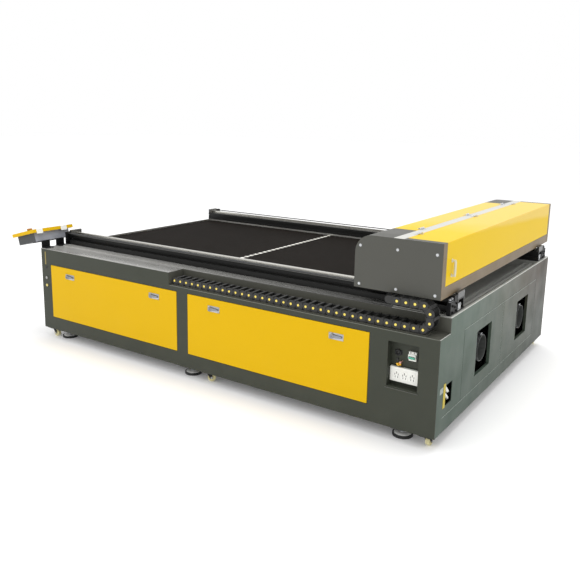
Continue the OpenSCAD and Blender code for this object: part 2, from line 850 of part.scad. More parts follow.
module breaker_body() {
    difference() {
        union() {
            block([breaker_x, rec_back - 14, breaker_z],
                  [breaker_x + breaker_w, rec_back, breaker_z + breaker_h]);
            block([breaker_x, rec_back - 22, breaker_z + 12],
                  [breaker_x + breaker_w, rec_back - 14, breaker_z + breaker_h - 12]);
        }
        block([breaker_x + (breaker_w - toggle_w) / 2 - 2, rec_back - 23, toggle_z - 11],
              [breaker_x + (breaker_w + toggle_w) / 2 + 2, rec_back - 6, toggle_z + 11]);
    }
}

module outlets_and_breaker() {
    color("white") place() {
        outlet_plate();
        breaker_body();
    }
}

module breaker_toggle() {
    color("seagreen") place() translate([breaker_x + breaker_w / 2, toggle_y, toggle_z]) {
        rod_x([-toggle_w / 2 - 1, 0, 0], 5, toggle_w + 2);
        rotate([-25, 0, 0]) block([-toggle_w / 2, -17, -2.5], [toggle_w / 2, 0, 2.5]);
    }
}

// Drops from the recess's upper edge to its fittings
socket_drop = 66;
port_drop = 104;
valve_drop = 120;

// Black socket in the recess, small port below it, and the port in the corner post
module panel_ports() {
    color("#161616") place() {
        difference() {
            rod_y([rec_x0 + 38, rec_back - 9, rec_z0 + rec_h - socket_drop], 15, 9);
            rod_y([rec_x0 + 38, rec_back - 10, rec_z0 + rec_h - socket_drop], 11, 7);
        }
        rod_y([rec_x0 + 34, rec_back - 5, rec_z0 + rec_h - port_drop], 6, 5);
        difference() {
            union() {
                rod_y([post_x, 0, clear_h + port_dz], post_r, sheet_t + 12);
                rod_y([post_x, -2, clear_h + port_dz], post_r + 2, 2);
            }
            rod_y([post_x, -3, clear_h + port_dz], 4, 8);
        }
    }
}

// Brass gas valve in the recess and the two white hose tails in the hose opening
module hose_fittings() {
    tail_r = 8;
    vx = rec_x0 + 50;
    vz = rec_z0 + rec_h - valve_drop;
    color("goldenrod") place() {
        rod_y([vx, rec_back - 20, vz], 7, 20);
        rod_x([vx - 12, rec_back - 20, vz], 5.5, 26);
        rod_y([vx, rec_back - 34, vz], 4, 15);
    }
    color("white") place() for (dz = [0, 36]) {
        x = right_in - 18;
        top = [x, hose_y + 12, clear_h + hose_sill + hose_h - 4 - dz];
        rod_x([right_in - tube_s + 3, top.y, top.z], tail_r, 19);
        translate(top) {
            sphere(r = tail_r);
            rotate([-130, 0, 0]) cylinder(h = 88, r = tail_r);
        }
    }
}

// Push button of the corner post: cap in front, stem through the panel
module post_button(dz) {
    travel = 4;
    rod_y([post_x, -2 - travel, clear_h + dz], post_r + 2, 2);
    rod_y([post_x, -travel, clear_h + dz], post_r, travel + sheet_t + 10);
}
module post_button_grey() { color("darkgray") place() post_button(grey_dz); }
module post_button_amber() { color("khaki") place() post_button(amber_dz); }

// ---- Doors and latches ----

latch_z = door_z + door_h - latch_drop;
hub_r = 8;
cup_t = 1.5;
door_face = -1;
leaf_t = 2;

function latch_xs(d) = [d[0] + latch_in, d[0] + d[1] - latch_in - 30];

module door(d) {
    x0 = d[0] + door_gap;
    x1 = d[0] + d[1] - door_gap;
    z0 = door_z + door_gap;
    z1 = door_z + door_h - door_gap;
    color("gold") place() {
        difference() {
            block([x0, door_face, z0], [x1, door_d - 1, z1]);
            block([x0 + leaf_t, door_face + leaf_t, z0 + leaf_t], [x1 - leaf_t, door_d, z1 - leaf_t]);
            for (x = latch_xs(d))
                rod_y([x, -5, latch_z], hub_r + run_gap, 12);
            for (x = [x0 - 1, x1 - leaf_t - 1])
                rod_x([x, pivot_in - 1, z0 + pivot_in], pivot_r + run_gap, leaf_t + 2);
        }
        // Cup plates of the latches
        for (x = latch_xs(d)) difference() {
            block([x - 20, door_face - cup_t, latch_z - 17], [x + 66, door_face, latch_z + 17]);
            rod_y([x, door_face - 3, latch_z], hub_r + run_gap, 4);
        }
    }
}
module left_door() { door(doors[0]); }
module right_door() { door(doors[1]); }

// Quarter-turn latch: hub and lever in front, cam bar behind the door
module latch(x) {
    y0 = door_face - cup_t - slip;
    reach = latch_drop + 10;
    // The bar lies along the lever: level when released, upright when locked behind the opening's edge
    color("silver") place() translate([x, 0, latch_z]) {
        rod_y([0, y0 - 12, 0], 13, 12);
        rod_y([0, y0 - 1, 0], hub_r, door_d + 6 - y0);
        linear_y(y0 - 12, 8) polygon([[0, -9], [56, -6], [60, 0], [56, 6], [0, 9]]);
        block([-9, door_d + 2, -9], [reach, door_d + 5, 9]);
    }
}
// Extrudes an outline drawn in X and Z along Y
module linear_y(y, l) { translate([0, y + l, 0]) rotate([90, 0, 0]) linear_extrude(l) children(); }

module latch_1() { latch(latch_xs(doors[0])[0]); }
module latch_2() { latch(latch_xs(doors[0])[1]); }
module latch_3() { latch(latch_xs(doors[1])[0]); }
module latch_4() { latch(latch_xs(doors[1])[1]); }

// ---- Console ----

module console_bracket() {
    leg_w = 68;
    leg_t = 5;
    // The sloped arm ends inside the upright
    arm = (con_gap + leg_t) / cos(con_deg);
    color("#1c1c1c") place() for (y = [4, 126]) {
        block([2, y, deck_z], [50, y + leg_w, deck_z + leg_t]);
        block([2, y, deck_z], [2 + leg_t, y + leg_w, con_z + arm * sin(con_deg) - 1]);
        translate([-con_gap, y, con_z]) rotate([0, -con_deg, 0])
            block([-60, 0, -leg_t], [arm, leg_w, 0]);
    }
}

module console_case() {
    t = 2;
    color("#4a4c4e") at_console() difference() {
        block([-con_w, 0, 0], [0, con_l, con_h]);
        block([t - con_w, t, t], [-t, con_l - t, con_h + 1]);
    }
}

panel_w = 150;
panel_l = 205;
panel_y = con_l - panel_l - 18;
panel_x = -con_w / 2 - panel_w / 2;
stop_y = 38;
stop_r = 11;

module console_cover() {
    t = 2;
    color("gold") at_console() difference() {
        block([-con_w - cover_lip, -cover_lip, con_h], [cover_lip, con_l + cover_lip, con_h + cover_h]);
        block([t - con_w, t, con_h - 1], [-t, con_l - t, con_h + cover_h - t]);
        block([panel_x - 1, panel_y - 1, con_h],
              [panel_x + panel_w + 1, panel_y + panel_l + 1, con_h + cover_h + 1]);
        rod_z([-con_w / 2, stop_y, con_h], stop_r + run_gap, cover_h + 1);
    }
}

// Screen and keys of the controller, one sealed unit with a membrane
module control_panel() {
    top = con_h + cover_h;
    color("#2d3a44") at_console() {
        block([panel_x, panel_y, con_h + 4], [panel_x + panel_w, panel_y + panel_l, top - 3]);
        block([panel_x + 30, panel_y + 14, top - 3], [panel_x + panel_w - 12, panel_y + 108, top - 2]);
        for (i = [0 : 3], j = [0 : 2])
            block([panel_x + 30 + i * 28, panel_y + 122 + j * 26, top - 3],
                  [panel_x + 48 + i * 28, panel_y + 140 + j * 26, top - 1.5]);
    }
}

module estop_button() {
    top = con_h + cover_h;
    color("peru") at_console() {
        rod_z([-con_w / 2, stop_y, top - 16], stop_r, 22);
        rod_z([-con_w / 2, stop_y, top + 6], 19, 11);
    }
}

// ---- Feet and casters ----

module levelling_foot(x, y) {
    translate([x, y, 0]) {
        difference() {
            cylinder(h = 12, r1 = foot_r, r2 = foot_r - 3);
            rod_z([0, 0, 7], foot_r - 8, 6);
        }
        difference() {
            union() {
                rod_z([0, 0, 7], foot_r - 8 - run_gap, 4);
                rod_z([0, 0, 11], 16, 9);
                rod_z([0, 0, 20], foot_stem, clear_h - 22);
                translate([0, 0, clear_h - boss_h - 12]) cylinder(h = 12, r = 14, $fn = 6);
            }
            rod_z([0, 0, 6], 3, 3);
        }
    }
}

module levelling_feet() {
    color("gray") place() for (x = foot_xs, y = [foot_in, cab_w - foot_in]) levelling_foot(x, y);
}

trail = 17;

module caster(i) {
    x = cast_xs[i % 3];
    y = i < 3 ? cast_in : cab_w - cast_in;
    axle_z = wheel_r + cast_lift;
    crown = clear_h - cast_plate - slip;
    color("#d9d2b0") place() translate([x, y, 0]) rotate([0, 0, cast_turns[i % 3]]) {
        rod_z([0, 0, crown - 1], king_r, cast_plate + 1);
        rod_z([0, 0, axle_z + wheel_r + 1], 18, crown - axle_z - wheel_r - 1);
        for (s = [-1, 1])
            linear_y(s * 14.5 - 1.5, 3) polygon([
                [-14, axle_z + wheel_r + 4], [16, axle_z + wheel_r + 4],
                [trail + 8, axle_z - 6], [trail - 8, axle_z - 6]
            ]);
        block([-14, -16, axle_z + wheel_r + 1], [16, 16, axle_z + wheel_r + 4]);
        rod_y([trail, -18, axle_z], 4, 36);
        rod_y([trail, -11, axle_z], wheel_r, 22);
    }
}
module caster_1() { caster(0); }
module caster_2() { caster(1); }
module caster_3() { caster(2); }
module caster_4() { caster(3); }
module caster_5() { caster(4); }
module caster_6() { caster(5); }

// ---- Gantry ----

// Outline of the housing, drawn in u and w, shrunk by an inset on every side
module housing_outline(inset) {
    r = corner_r - inset;
    translate([inset, inset]) square([gan_w - 2 * inset, gan_h - corner_r - inset]);
    translate([corner_r, inset]) square([gan_w - corner_r - inset, gan_h - 2 * inset]);
    translate([corner_r, gan_h - corner_r]) circle(r = r, $fn = 96);
}

// A length of the housing's sheet, from v0 to v1
module housing_sheet(v0, v1, t) {
    linear_y(v0, v1 - v0) difference() {
        housing_outline(0);
        housing_outline(t);
    }
}

screw_us = [30, gan_w / 2, gan_w - 30];
screw_ws = [20, gan_h - 56];

module gantry_end_plates() {
    color("#62645f") at_gantry() {
        linear_y(0, plate_t) housing_outline(0);
        linear_y(gan_l - plate_t, plate_t) housing_outline(0);
        for (u = screw_us, w = screw_ws) {
            rod_y([u, -screw_out, w], screw_r, screw_out);
            rod_y([u, gan_l, w], screw_r, screw_out);
        }
    }
}

left_rail = 45;
left_v0 = lid_left_in;
left_v1 = gan_l - lid_left_back;
right_v0 = lid_in;
right_v1 = gan_l - lid_in + 9;

module gantry_shell() {
    color("#62645f") at_gantry() difference() {
        housing_sheet(plate_t, gan_l - plate_t, gan_t);
        block([-1, left_v0, left_rail], [strip_u0, left_v1, gan_h + 1]);
        block([strip_u1, right_v0, low_rail], [gan_w + 1, right_v1, gan_h + 1]);
        block([strip_u0, 0, gan_h - gan_t - 1], [strip_u1, gan_l, gan_h + 1]);
        // Slot for the lens tube and openings for the drive pulleys
        block([head_u - 45, head_park - head_run - 40, -1], [head_u + 45, head_park + 40, gan_t + 1]);
        for (span = [
            [belt_vs[0] - belt_w / 2 - 6, belt_vs[0] + belt_w / 2 + 6],
            [belt_vs[1] - belt_w / 2 - 6, shaft_v1 + 4]
        ])
            block([shaft_u - pulley_r - 2, span[0], -1], [shaft_u + pulley_r + 2, span[1], gan_t + 1]);
    }
}

module gantry_beam() {
    color("#4b4d4c") at_gantry() {
        difference() {
            block([core_u0, plate_t, core_w0], [core_u1, gan_l - plate_t, core_w1]);
            block([core_u0 + 5, plate_t - 1, core_w0 + 5], [core_u1 - 5, gan_l, core_w1 - 5]);
        }
        for (v = rail_vs)
            block([60, v - 10, gan_t], [gan_w - 60, v + beam_w + 10, core_w0]);
        // Guide rail of the head
        block([core_u0 - rail_s, 60, rail_w], [core_u0, gan_l - 60, rail_w + rail_s]);
    }
}

module bearing_blocks() {
    low = -gan_lift - guide_h + 6;
    groove = guide_w / 2 + 0.3;
    color("#8b8f92") at_gantry() {
        for (v = rail_vs, u = block_us) difference() {
            block([u, v + beam_w / 2 - 26, low], [u + 60, v + beam_w / 2 + 26, 0]);
            block([u - 1, v + beam_w / 2 - groove, low - 1],
                  [u + 61, v + beam_w / 2 + groove, -gan_lift + 0.3]);
        }
        for (v = [shaft_v0 + 90, shaft_v1 - 110]) difference() {
            block([shaft_u - 18, v, gan_t], [shaft_u + 18, v + 20, shaft_w + 18]);
            rod_y([shaft_u, v - 1, shaft_w], shaft_r + run_gap, 22);
        }
    }
}

knuckle_r = 5;
hinge_w = gan_h + knuckle_r + 0.3;
hinge_pin = 2.5;
left_hinges = [left_v0 + 60, (left_v0 + left_v1) / 2, left_v1 - 60];
right_hinges = [right_v0 + 150, (right_v0 + right_v1) / 2, right_v1 - 190];

// Fixed half of a hinge: leaf on the strip, two knuckles and the pin
module hinge_fixed(u, v) {
    block([u + knuckle_r + 1, v - 30, gan_h], [u + 20, v + 30, gan_h + 2]);
    for (s = [-30, 11]) {
        block([u + 2, v + s, gan_h], [u + knuckle_r + 2, v + s + 19, gan_h + 2]);
        rod_y([u, v + s, hinge_w], knuckle_r, 19);
    }
    rod_y([u, v - 30, hinge_w], hinge_pin, 60);
}

// Moving half of a hinge: leaf on the lid and the middle knuckle
module hinge_moving(u, v, side) {
    difference() {
        union() {
            rod_y([u, v - 10, hinge_w], knuckle_r, 20);
            translate([u + side * 2, v - 10, gan_h]) mirror([side < 0 ? 1 : 0, 0, 0]) cube([18, 20, 2]);
        }
        rod_y([u, v - 11, hinge_w], hinge_pin + run_gap, 22);
    }
}

module hinge_strip() {
    color("#8a8c88") at_gantry() {
        block([strip_u0, plate_t, gan_h - gan_t], [strip_u1, gan_l - plate_t, gan_h]);
        block([gan_w / 2 - 2, laser_v0, core_w1], [gan_w / 2 + 2, gan_l - 180, gan_h - gan_t]);
        for (v = left_hinges) hinge_fixed_left(v);
        for (v = right_hinges) hinge_fixed_right(v);
    }
}
module hinge_fixed_left(v) { hinge_fixed(strip_u0, v); }
module hinge_fixed_right(v) {
    translate([strip_u1, 0, 0]) mirror([1, 0, 0]) hinge_fixed(0, v);
}

lid_gap = 1.5;

module left_lid() {
    color("gold") at_gantry() {
        intersection() {
            housing_sheet(left_v0 + lid_gap, left_v1 - lid_gap, gan_t);
            block([-1, 0, left_rail + lid_gap], [strip_u0 - lid_gap, gan_l, gan_h + 1]);
        }
        for (v = left_hinges) hinge_moving(strip_u0, v, -1);
    }
}

handle_v = right_v0 + 72;
handle_w0 = 99;
handle_h = 83;
handle_out = 22;

module right_lid() {
    color("gold") at_gantry() {
        intersection() {
            housing_sheet(right_v0 + lid_gap, right_v1 - lid_gap, gan_t);
            block([strip_u1 + lid_gap, 0, low_rail + lid_gap], [gan_w + 1, gan_l, gan_h + 1]);
        }
        for (v = right_hinges) hinge_moving(strip_u1, v, 1);
        // Bow handle
        for (w = [handle_w0 + 5, handle_w0 + handle_h - 5])
            rod_x([gan_w, handle_v, w], 4.5, handle_out - 4);
        rod_z([gan_w + handle_out - 5, handle_v, handle_w0], 5, handle_h);
    }
}

module laser_tube() {
    color([0.75, 0.85, 0.9, 0.6]) at_gantry()
        translate([laser_u, laser_v0, beam_path_w]) rotate([-90, 0, 0])
        rotate_extrude($fn = 64) polygon([
            [0, 0], [14, 0], [14, 40], [laser_r - 8, 52], [laser_r, 70],
            [laser_r, laser_l - 90], [laser_r - 8, laser_l - 72], [20, laser_l - 60],
            [20, laser_l], [0, laser_l]
        ]);
}

// A mirror on its post, turned halfway between the two legs of the light path
module mirror_mount(u, turn) {
    block([u - 15, mirror_v - 15, gan_t], [u + 15, mirror_v + 15, beam_path_w - 28]);
    translate([u, mirror_v, beam_path_w]) rotate([0, 0, turn]) {
        rod_y([0, 0, 0], 26, 12);
        block([-20, 2, -32], [20, 12, -20]);
    }
}

// Where the two tube clamps stand, as shares of the tube's length
clamp_shares = [0.194, 0.745];

module tube_and_mirror_mounts() {
    color("#b9bcbd") at_gantry() {
        for (share = clamp_shares) {
            v = laser_v0 + laser_l * share;
            difference() {
                union() {
                    rod_y([laser_u, v, beam_path_w], laser_r + 6, 30);
                    block([laser_u - 26, v, gan_t], [laser_u + 26, v + 30, beam_path_w]);
                }
                rod_y([laser_u, v - 1, beam_path_w], laser_r + run_gap, 32);
            }
        }
        mirror_mount(laser_u, 45 + 180);
        mirror_mount(head_u, -45 + 180);
    }
}

motor_s = 60;
motor_w = shaft_w + 82;
stage_r = 14;
stage_v = shaft_v1 - 16;

module drive_motor() {
    color("#1a1a1a") at_gantry() {
        block([shaft_u - motor_s / 2, shaft_v1 + 12, motor_w - motor_s / 2],
              [shaft_u + motor_s / 2 - 6, shaft_v1 + 102, motor_w + motor_s / 2]);
        block([shaft_u - motor_s / 2, shaft_v1 + 7, gan_t],
              [shaft_u + motor_s / 2 - 6, shaft_v1 + 12, motor_w + motor_s / 2]);
        rod_y([shaft_u, stage_v, motor_w], stage_r, shaft_v1 + 8 - stage_v);
        // Belt of the reduction stage
        difference() {
            union() {
                rod_y([shaft_u, stage_v, shaft_w], stage_r + 3, 14);
                rod_y([shaft_u, stage_v, motor_w], stage_r + 3, 14);
                block([shaft_u - stage_r - 3, stage_v, shaft_w],
                      [shaft_u + stage_r + 3, stage_v + 14, motor_w]);
            }
            rod_y([shaft_u, stage_v - 1, shaft_w], stage_r + 0.4, 16);
            rod_y([shaft_u, stage_v - 1, motor_w], stage_r + 0.4, 16);
            block([shaft_u - stage_r - 0.4, stage_v - 1, shaft_w],
                  [shaft_u + stage_r + 0.4, stage_v + 15, motor_w]);
        }
    }
}

module drive_shaft() {
    color("silver") at_gantry() {
        rod_y([shaft_u, shaft_v0, shaft_w], shaft_r, shaft_v1 - shaft_v0);
        for (v = belt_vs)
            rod_y([shaft_u, v - belt_w / 2, shaft_w], pulley_r, belt_w);
        rod_y([shaft_u, stage_v, shaft_w], stage_r, 14);
    }
}

head_belt_w = core_w1 - 10;
head_belt_u = core_u0 - 25;
head_belt_r = 12;
belt_skin = 2.2;
belt_up = 9;

// Half ring of the head's belt around one pulley
module belt_half(v, side) {
    r = head_belt_r + belt_skin;
    translate([head_belt_u, v, head_belt_w]) mirror([0, side < 0 ? 1 : 0, 0]) difference() {
        cylinder(h = belt_up, r = r);
        rod_z([0, 0, -1], head_belt_r, belt_up + 2);
        block([-r - 1, -r - 1, -1], [r + 1, 0, belt_up + 1]);
    }
}

module head_drive() {
    v0 = 80;
    v1 = gan_l - 80;
    color("#1a1a1a") at_gantry() {
        // Motor, its bracket on the beam, and the idler's bracket
        block([head_belt_u - 28, v1 - 28, head_belt_w + 14],
              [head_belt_u + 28, v1 + 28, head_belt_w + 72]);
        block([head_belt_u - 28, v1 - 28, head_belt_w + 10], [core_u0 + 20, v1 + 28, head_belt_w + 14]);
        block([core_u0, v1 - 28, core_w1], [core_u0 + 20, v1 + 28, head_belt_w + 14]);
        block([head_belt_u - 10, v0 - 15, head_belt_w + 10], [core_u0 + 20, v0 + 15, head_belt_w + 14]);
        block([core_u0, v0 - 15, core_w1], [core_u0 + 20, v0 + 15, head_belt_w + 14]);
        // Pulleys
        for (v = [v0, v1])
            rod_z([head_belt_u, v, head_belt_w - 1], head_belt_r, 12);
        // Belt: two straight strips and two half rings
        for (s = [-1, 1])
            translate([head_belt_u + s * (head_belt_r + belt_skin / 2), (v0 + v1) / 2,
                       head_belt_w + belt_up / 2])
                cube([belt_skin, v1 - v0, belt_up], center = true);
        belt_half(v0, -1);
        belt_half(v1, 1);
    }
}

clamp_u = head_belt_u - head_belt_r - belt_skin - 0.3;
holder_w0 = 44;
holder_w1 = 68;

module head_carriage() {
    v = head_park;
    color("#9a9d9f") at_gantry() difference() {
        union() {
            // Bearing block on the head's guide rail, and the upright plate
            block([core_u0 - rail_s - 14, v - 35, rail_w - 10],
                  [core_u0 - 4, v + 35, rail_w + rail_s + 10]);
            block([plate_u, v - 50, holder_w0 - 8], [plate_u + 10, v + 50, rail_w + rail_s + 22]);
            // Clamp beside the belt
            block([clamp_u - 4, v - 15, rail_w + rail_s + 10], [clamp_u, v + 15, head_belt_w + 9]);
            block([clamp_u - 4, v - 15, rail_w + rail_s + 10],
                  [plate_u + 1, v + 15, rail_w + rail_s + 22]);
            // Holder of the lens tube
            block([head_u - lens_r - 8, v - lens_r - 8, holder_w0], [plate_u, v + lens_r + 8, holder_w1]);
            // Post and housing of the third mirror
            block([head_u + 28, v - 20, holder_w1 - 1], [plate_u, v + 20, holder_w1 + 30]);
            block([head_u + 16, v - 20, holder_w1 + 20], [head_u + 28, v + 20, beam_path_w - 20]);
            block([head_u + 16, v - 20, holder_w1], [plate_u, v + 20, holder_w1 + 30]);
            block([head_u - 28, v - 28, beam_path_w - 22], [head_u + 28, v + 28, beam_path_w + 26]);
        }
        rod_z([head_u, v, holder_w0 - 1], lens_r + run_gap, beam_path_w - 30 - holder_w0);
        block([core_u0 - rail_s - slip, v - 36, rail_w - slip],
              [core_u0 + 1, v + 36, rail_w + rail_s + slip]);
        rod_z([head_u, v, beam_path_w - 23], 9, 24);
        rod_y([head_u, v - 29, beam_path_w], 9, 30);
    }
}

module lens_tube() {
    nozzle_h = 55;
    top_w = beam_path_w - 58;
    color("goldenrod") at_gantry() translate([head_u, head_park, tip_w]) {
        difference() {
            union() {
                rod_z([0, 0, nozzle_h], lens_r, top_w - tip_w - nozzle_h);
                cylinder(h = nozzle_h, r1 = 4, r2 = lens_r - 6);
            }
            rod_z([0, 0, -1], 1.5, top_w - tip_w + 2);
            rod_z([0, 0, nozzle_h + 10], lens_r - 7, top_w - tip_w);
        }
        // Focus ring
        difference() {
            rod_z([0, 0, nozzle_h - 4], lens_r, 5);
            rod_z([0, 0, nozzle_h - 5], lens_r - 8, 7);
        }
    }
}

// ---- Energy chain ----

// One side of a link: two ears in two lanes, joined in the middle
module link_side() {
    reach = pitch - ear_r - 0.5;
    linear_y(0, lane_t) union() {
        circle(r = ear_r, $fn = 24);
        translate([0, -ear_r]) square([reach, 2 * ear_r]);
    }
    linear_y(lane_t + 0.2, lane_t) union() {
        translate([pitch, 0]) circle(r = ear_r, $fn = 24);
        translate([pitch - reach, -ear_r]) square([reach, 2 * ear_r]);
    }
    block([pitch - reach, 0, -chain_h / 2], [reach, 2 * lane_t + 0.2, chain_h / 2]);
    rod_y([0, -1.5, 0], 4.5, 3);
}

// One link from its pin at the origin to the next pin
module link() {
    link_side();
    translate([0, chain_w, 0]) mirror([0, 1, 0]) link_side();
    for (z = [-chain_h / 2, chain_h / 2 - 4])
        block([pitch / 2 - 7, 1, z], [pitch / 2 + 7, chain_w - 1, z + 4]);
}

module chain_lower_run() {
    color("#1b1b1a") place() translate([chain_x, chain_in, chain_z]) {
        for (i = [0 : n_lower - 1]) translate([i * pitch, 0, 0]) link();
        // Anchor bracket
        block([-14, 8, -chain_h / 2], [14, chain_w - 8, 0]);
    }
}

module chain_bend() {
    p1 = [pitch * cos(bend_deg), pitch * sin(bend_deg)];
    p2 = [p1.x, p1.y + pitch];
    color("#1b1b1a") place() translate([bend_x, chain_in, chain_z]) {
        rotate([0, -bend_dirs[0], 0]) link();
        translate([p1.x, 0, p1.y]) rotate([0, -bend_dirs[1], 0]) link();
        translate([p2.x, 0, p2.y]) rotate([0, -bend_dirs[2], 0]) link();
    }
}

module chain_upper_run() {
    end_x = upper_x - n_upper * pitch;
    color("#1b1b1a") place() {
        for (i = [0 : n_upper - 1])
            translate([upper_x - i * pitch, chain_in, upper_z]) rotate([0, -180, 0]) link();
        // Bracket under the gantry
        block([end_x - 14, chain_in + 8, upper_z - 4], [end_x + 14, chain_in + chain_w - 8, gan_z - 3]);
        block([end_x - 14, chain_in + 8, gan_z - 4], [end_x + 14, rail_in - 70, gan_z]);
    }
}

base_frame();
front_panel();
rear_and_left_panels();
right_end_panels();
deck();
chain_tray();
rail_beams();
guide_rails();
belt_tensioners();
drive_belts();
bed_rim();
honeycomb_panels();
centre_bar();
waste_chute();
electronics_plate();
blower_housings();
blower_wheel_1();
blower_wheel_2();
power_recess();
outlets_and_breaker();
breaker_toggle();
panel_ports();
hose_fittings();
post_button_grey();
post_button_amber();
left_door();
right_door();
latch_1();
latch_2();
latch_3();
latch_4();
console_bracket();
console_case();
console_cover();
control_panel();
estop_button();
levelling_feet();
caster_1();
caster_2();
caster_3();
caster_4();
caster_5();
caster_6();
gantry_end_plates();
gantry_shell();
gantry_beam();
bearing_blocks();
hinge_strip();
left_lid();
right_lid();
laser_tube();
tube_and_mirror_mounts();
drive_motor();
drive_shaft();
head_drive();
head_carriage();
lens_tube();
chain_lower_run();
chain_bend();
chain_upper_run();
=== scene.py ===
# %% [markdown]
# # Dressing a large laser marking machine
# The machine arrives as a fixed frame: sixty solid pieces with their joints. This lesson gives
# every piece its finish, and models the small things that make a machine look real: chain
# links, latches, screws, keys and mirrors. The frame is loaded first, because every place
# below is read from it.

# %% Load the fixed frame
import bpy
import math
from mathutils import Matrix, Vector


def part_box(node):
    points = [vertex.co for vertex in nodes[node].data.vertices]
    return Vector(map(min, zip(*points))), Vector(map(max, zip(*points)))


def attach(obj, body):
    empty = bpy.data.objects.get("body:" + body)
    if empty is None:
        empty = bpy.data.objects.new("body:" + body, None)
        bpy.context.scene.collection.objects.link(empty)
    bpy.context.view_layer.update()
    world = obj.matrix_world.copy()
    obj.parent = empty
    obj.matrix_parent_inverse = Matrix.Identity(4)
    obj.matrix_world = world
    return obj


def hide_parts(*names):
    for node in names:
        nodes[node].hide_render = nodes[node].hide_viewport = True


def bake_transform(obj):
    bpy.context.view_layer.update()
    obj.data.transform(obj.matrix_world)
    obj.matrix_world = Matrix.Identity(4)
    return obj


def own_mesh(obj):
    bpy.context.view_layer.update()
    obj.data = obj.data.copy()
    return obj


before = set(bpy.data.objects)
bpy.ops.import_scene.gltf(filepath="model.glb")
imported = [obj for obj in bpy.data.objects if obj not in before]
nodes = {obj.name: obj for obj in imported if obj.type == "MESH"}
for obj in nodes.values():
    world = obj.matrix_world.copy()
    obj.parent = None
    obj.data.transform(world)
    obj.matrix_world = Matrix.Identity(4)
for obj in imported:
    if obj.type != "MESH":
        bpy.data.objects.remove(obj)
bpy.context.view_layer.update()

# %% [markdown]
# The makers of the cabinet measure from its lower left front corner, and so does this lesson.
# `at` turns such a measure, in millimetres, into a place in the frame, and `mm` turns one into
# a step. The corner itself is read from the deck plate, so it isn't typed twice.

# %% Measure from the cabinet's corner
deck_lo, deck_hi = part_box("deck")
corner_x, corner_y = deck_lo.x, deck_lo.y


def at(x, y, z):
    return Vector((corner_x + x / 1000, corner_y + y / 1000, z / 1000))


def mm(x, y, z):
    return Vector((x, y, z)) / 1000


cab_len = (deck_hi.x - corner_x) * 1000
cab_dep = (deck_hi.y - corner_y) * 1000
print("cabinet:", round(cab_len), "x", round(cab_dep), "mm")

# %% [markdown]
# The camera stands in front of the right corner, a little above the gantry, and looks along
# the front towards the far left. A lens of about 41 mm shows the long cabinet with little
# distortion. The direction is built from three turns: round, down and a small roll. The lens
# is shifted a little, which slides the picture without turning the camera.

# %% Camera
cam_place = at(4074, -2904, 1579)
yaw, pitch, roll = math.radians(34.3), math.radians(11.33), math.radians(0.97)
back = Vector((math.sin(yaw) * math.cos(pitch), -math.cos(yaw) * math.cos(pitch), math.sin(pitch)))
right = (-back).cross(Vector((0, 0, 1))).normalized()
up = right.cross(-back)
cam_right = math.cos(roll) * right + math.sin(roll) * up
cam_up = math.cos(roll) * up - math.sin(roll) * right
cam_data = bpy.data.cameras.new("camera")
cam_data.sensor_width = 36
cam_data.lens = 41.509055172
cam_data.shift_x, cam_data.shift_y = 0.0125862069, -0.0568275862
cam_data.clip_end = 100
camera = bpy.data.objects.new("camera", cam_data)
bpy.context.scene.collection.objects.link(camera)
cam_turn = Matrix((cam_right, cam_up, back)).transposed().to_4x4()
camera.matrix_world = Matrix.Translation(cam_place) @ cam_turn
bpy.context.scene.camera = camera
print("lens:", round(cam_data.lens, 2), "mm")

# %% [markdown]
# A product studio has a pale floor that runs up into a pale wall, so that no horizon shows.
# Here a very large plane does the floor, and the world around it is white. The floor glows
# very faintly, so that it comes out as white as the world and still takes a soft shadow.

# %% Floor and world
bpy.ops.mesh.primitive_plane_add(size=90, location=(0, 0, -0.0005))
floor = bpy.context.object
floor.name = "studio_floor"
floor_mat = bpy.data.materials.new("studio_floor")
floor_mat.use_nodes = True
floor_bsdf = floor_mat.node_tree.nodes["Principled BSDF"]
for socket, value in (("Base Color", (0.93, 0.93, 0.93, 1)), ("Roughness", 0.9),
                      ("Specular IOR Level", 0.1), ("Emission Color", (1, 1, 1, 1)),
                      ("Emission Strength", 0.08)):
    floor_bsdf.inputs[socket].default_value = value
floor.data.materials.append(floor_mat)
world = bpy.data.worlds.new("studio")
world.use_nodes = True
world_light = world.node_tree.nodes["Background"]
world_light.inputs["Color"].default_value = (1, 1, 1, 1)
world_light.inputs["Strength"].default_value = 1.0
bpy.context.scene.world = world
bpy.context.scene.view_settings.view_transform = "Standard"
print("floor:", floor.name, "world:", world.name)

# %% [markdown]
# Large soft lamps stand where a studio has them: one high above the left front, a long one
# overhead that draws the pale tops, and one far to the right that gives the end panels sheen.

# %% Lamps


def soft_lamp(name, place, target, size, power):
    data = bpy.data.lights.new(name, "AREA")
    data.shape = "RECTANGLE"
    data.size, data.size_y = size
    data.energy = power
    lamp = bpy.data.objects.new(name, data)
    bpy.context.scene.collection.objects.link(lamp)
    lamp.location = place
    lamp.rotation_euler = (Vector(target) - Vector(place)).to_track_quat("-Z", "Y").to_euler()


soft_lamp("key", (-0.4, -6.6, 5.2), (0, 0, 0.4), (6, 4), 120)
soft_lamp("top", (0.5, 1.0, 6.0), (0, 0, 0.5), (6, 5), 200)
soft_lamp("right", (6.5, 0.5, 3.0), (1.6, 0, 0.4), (3, 4), 15)
print("lamps:", len(bpy.data.lights))

# %% [markdown]
# ## Materials
# Shader arithmetic is easier to read as a formula than as a picture of boxes. `Sock` wraps one
# output of a node and lets `+`, `-`, `*` and `>` build the Math nodes. `Shader.node` makes any
# other node: its settings come first, then the values or links of its sockets.

# %% A small language for shaders


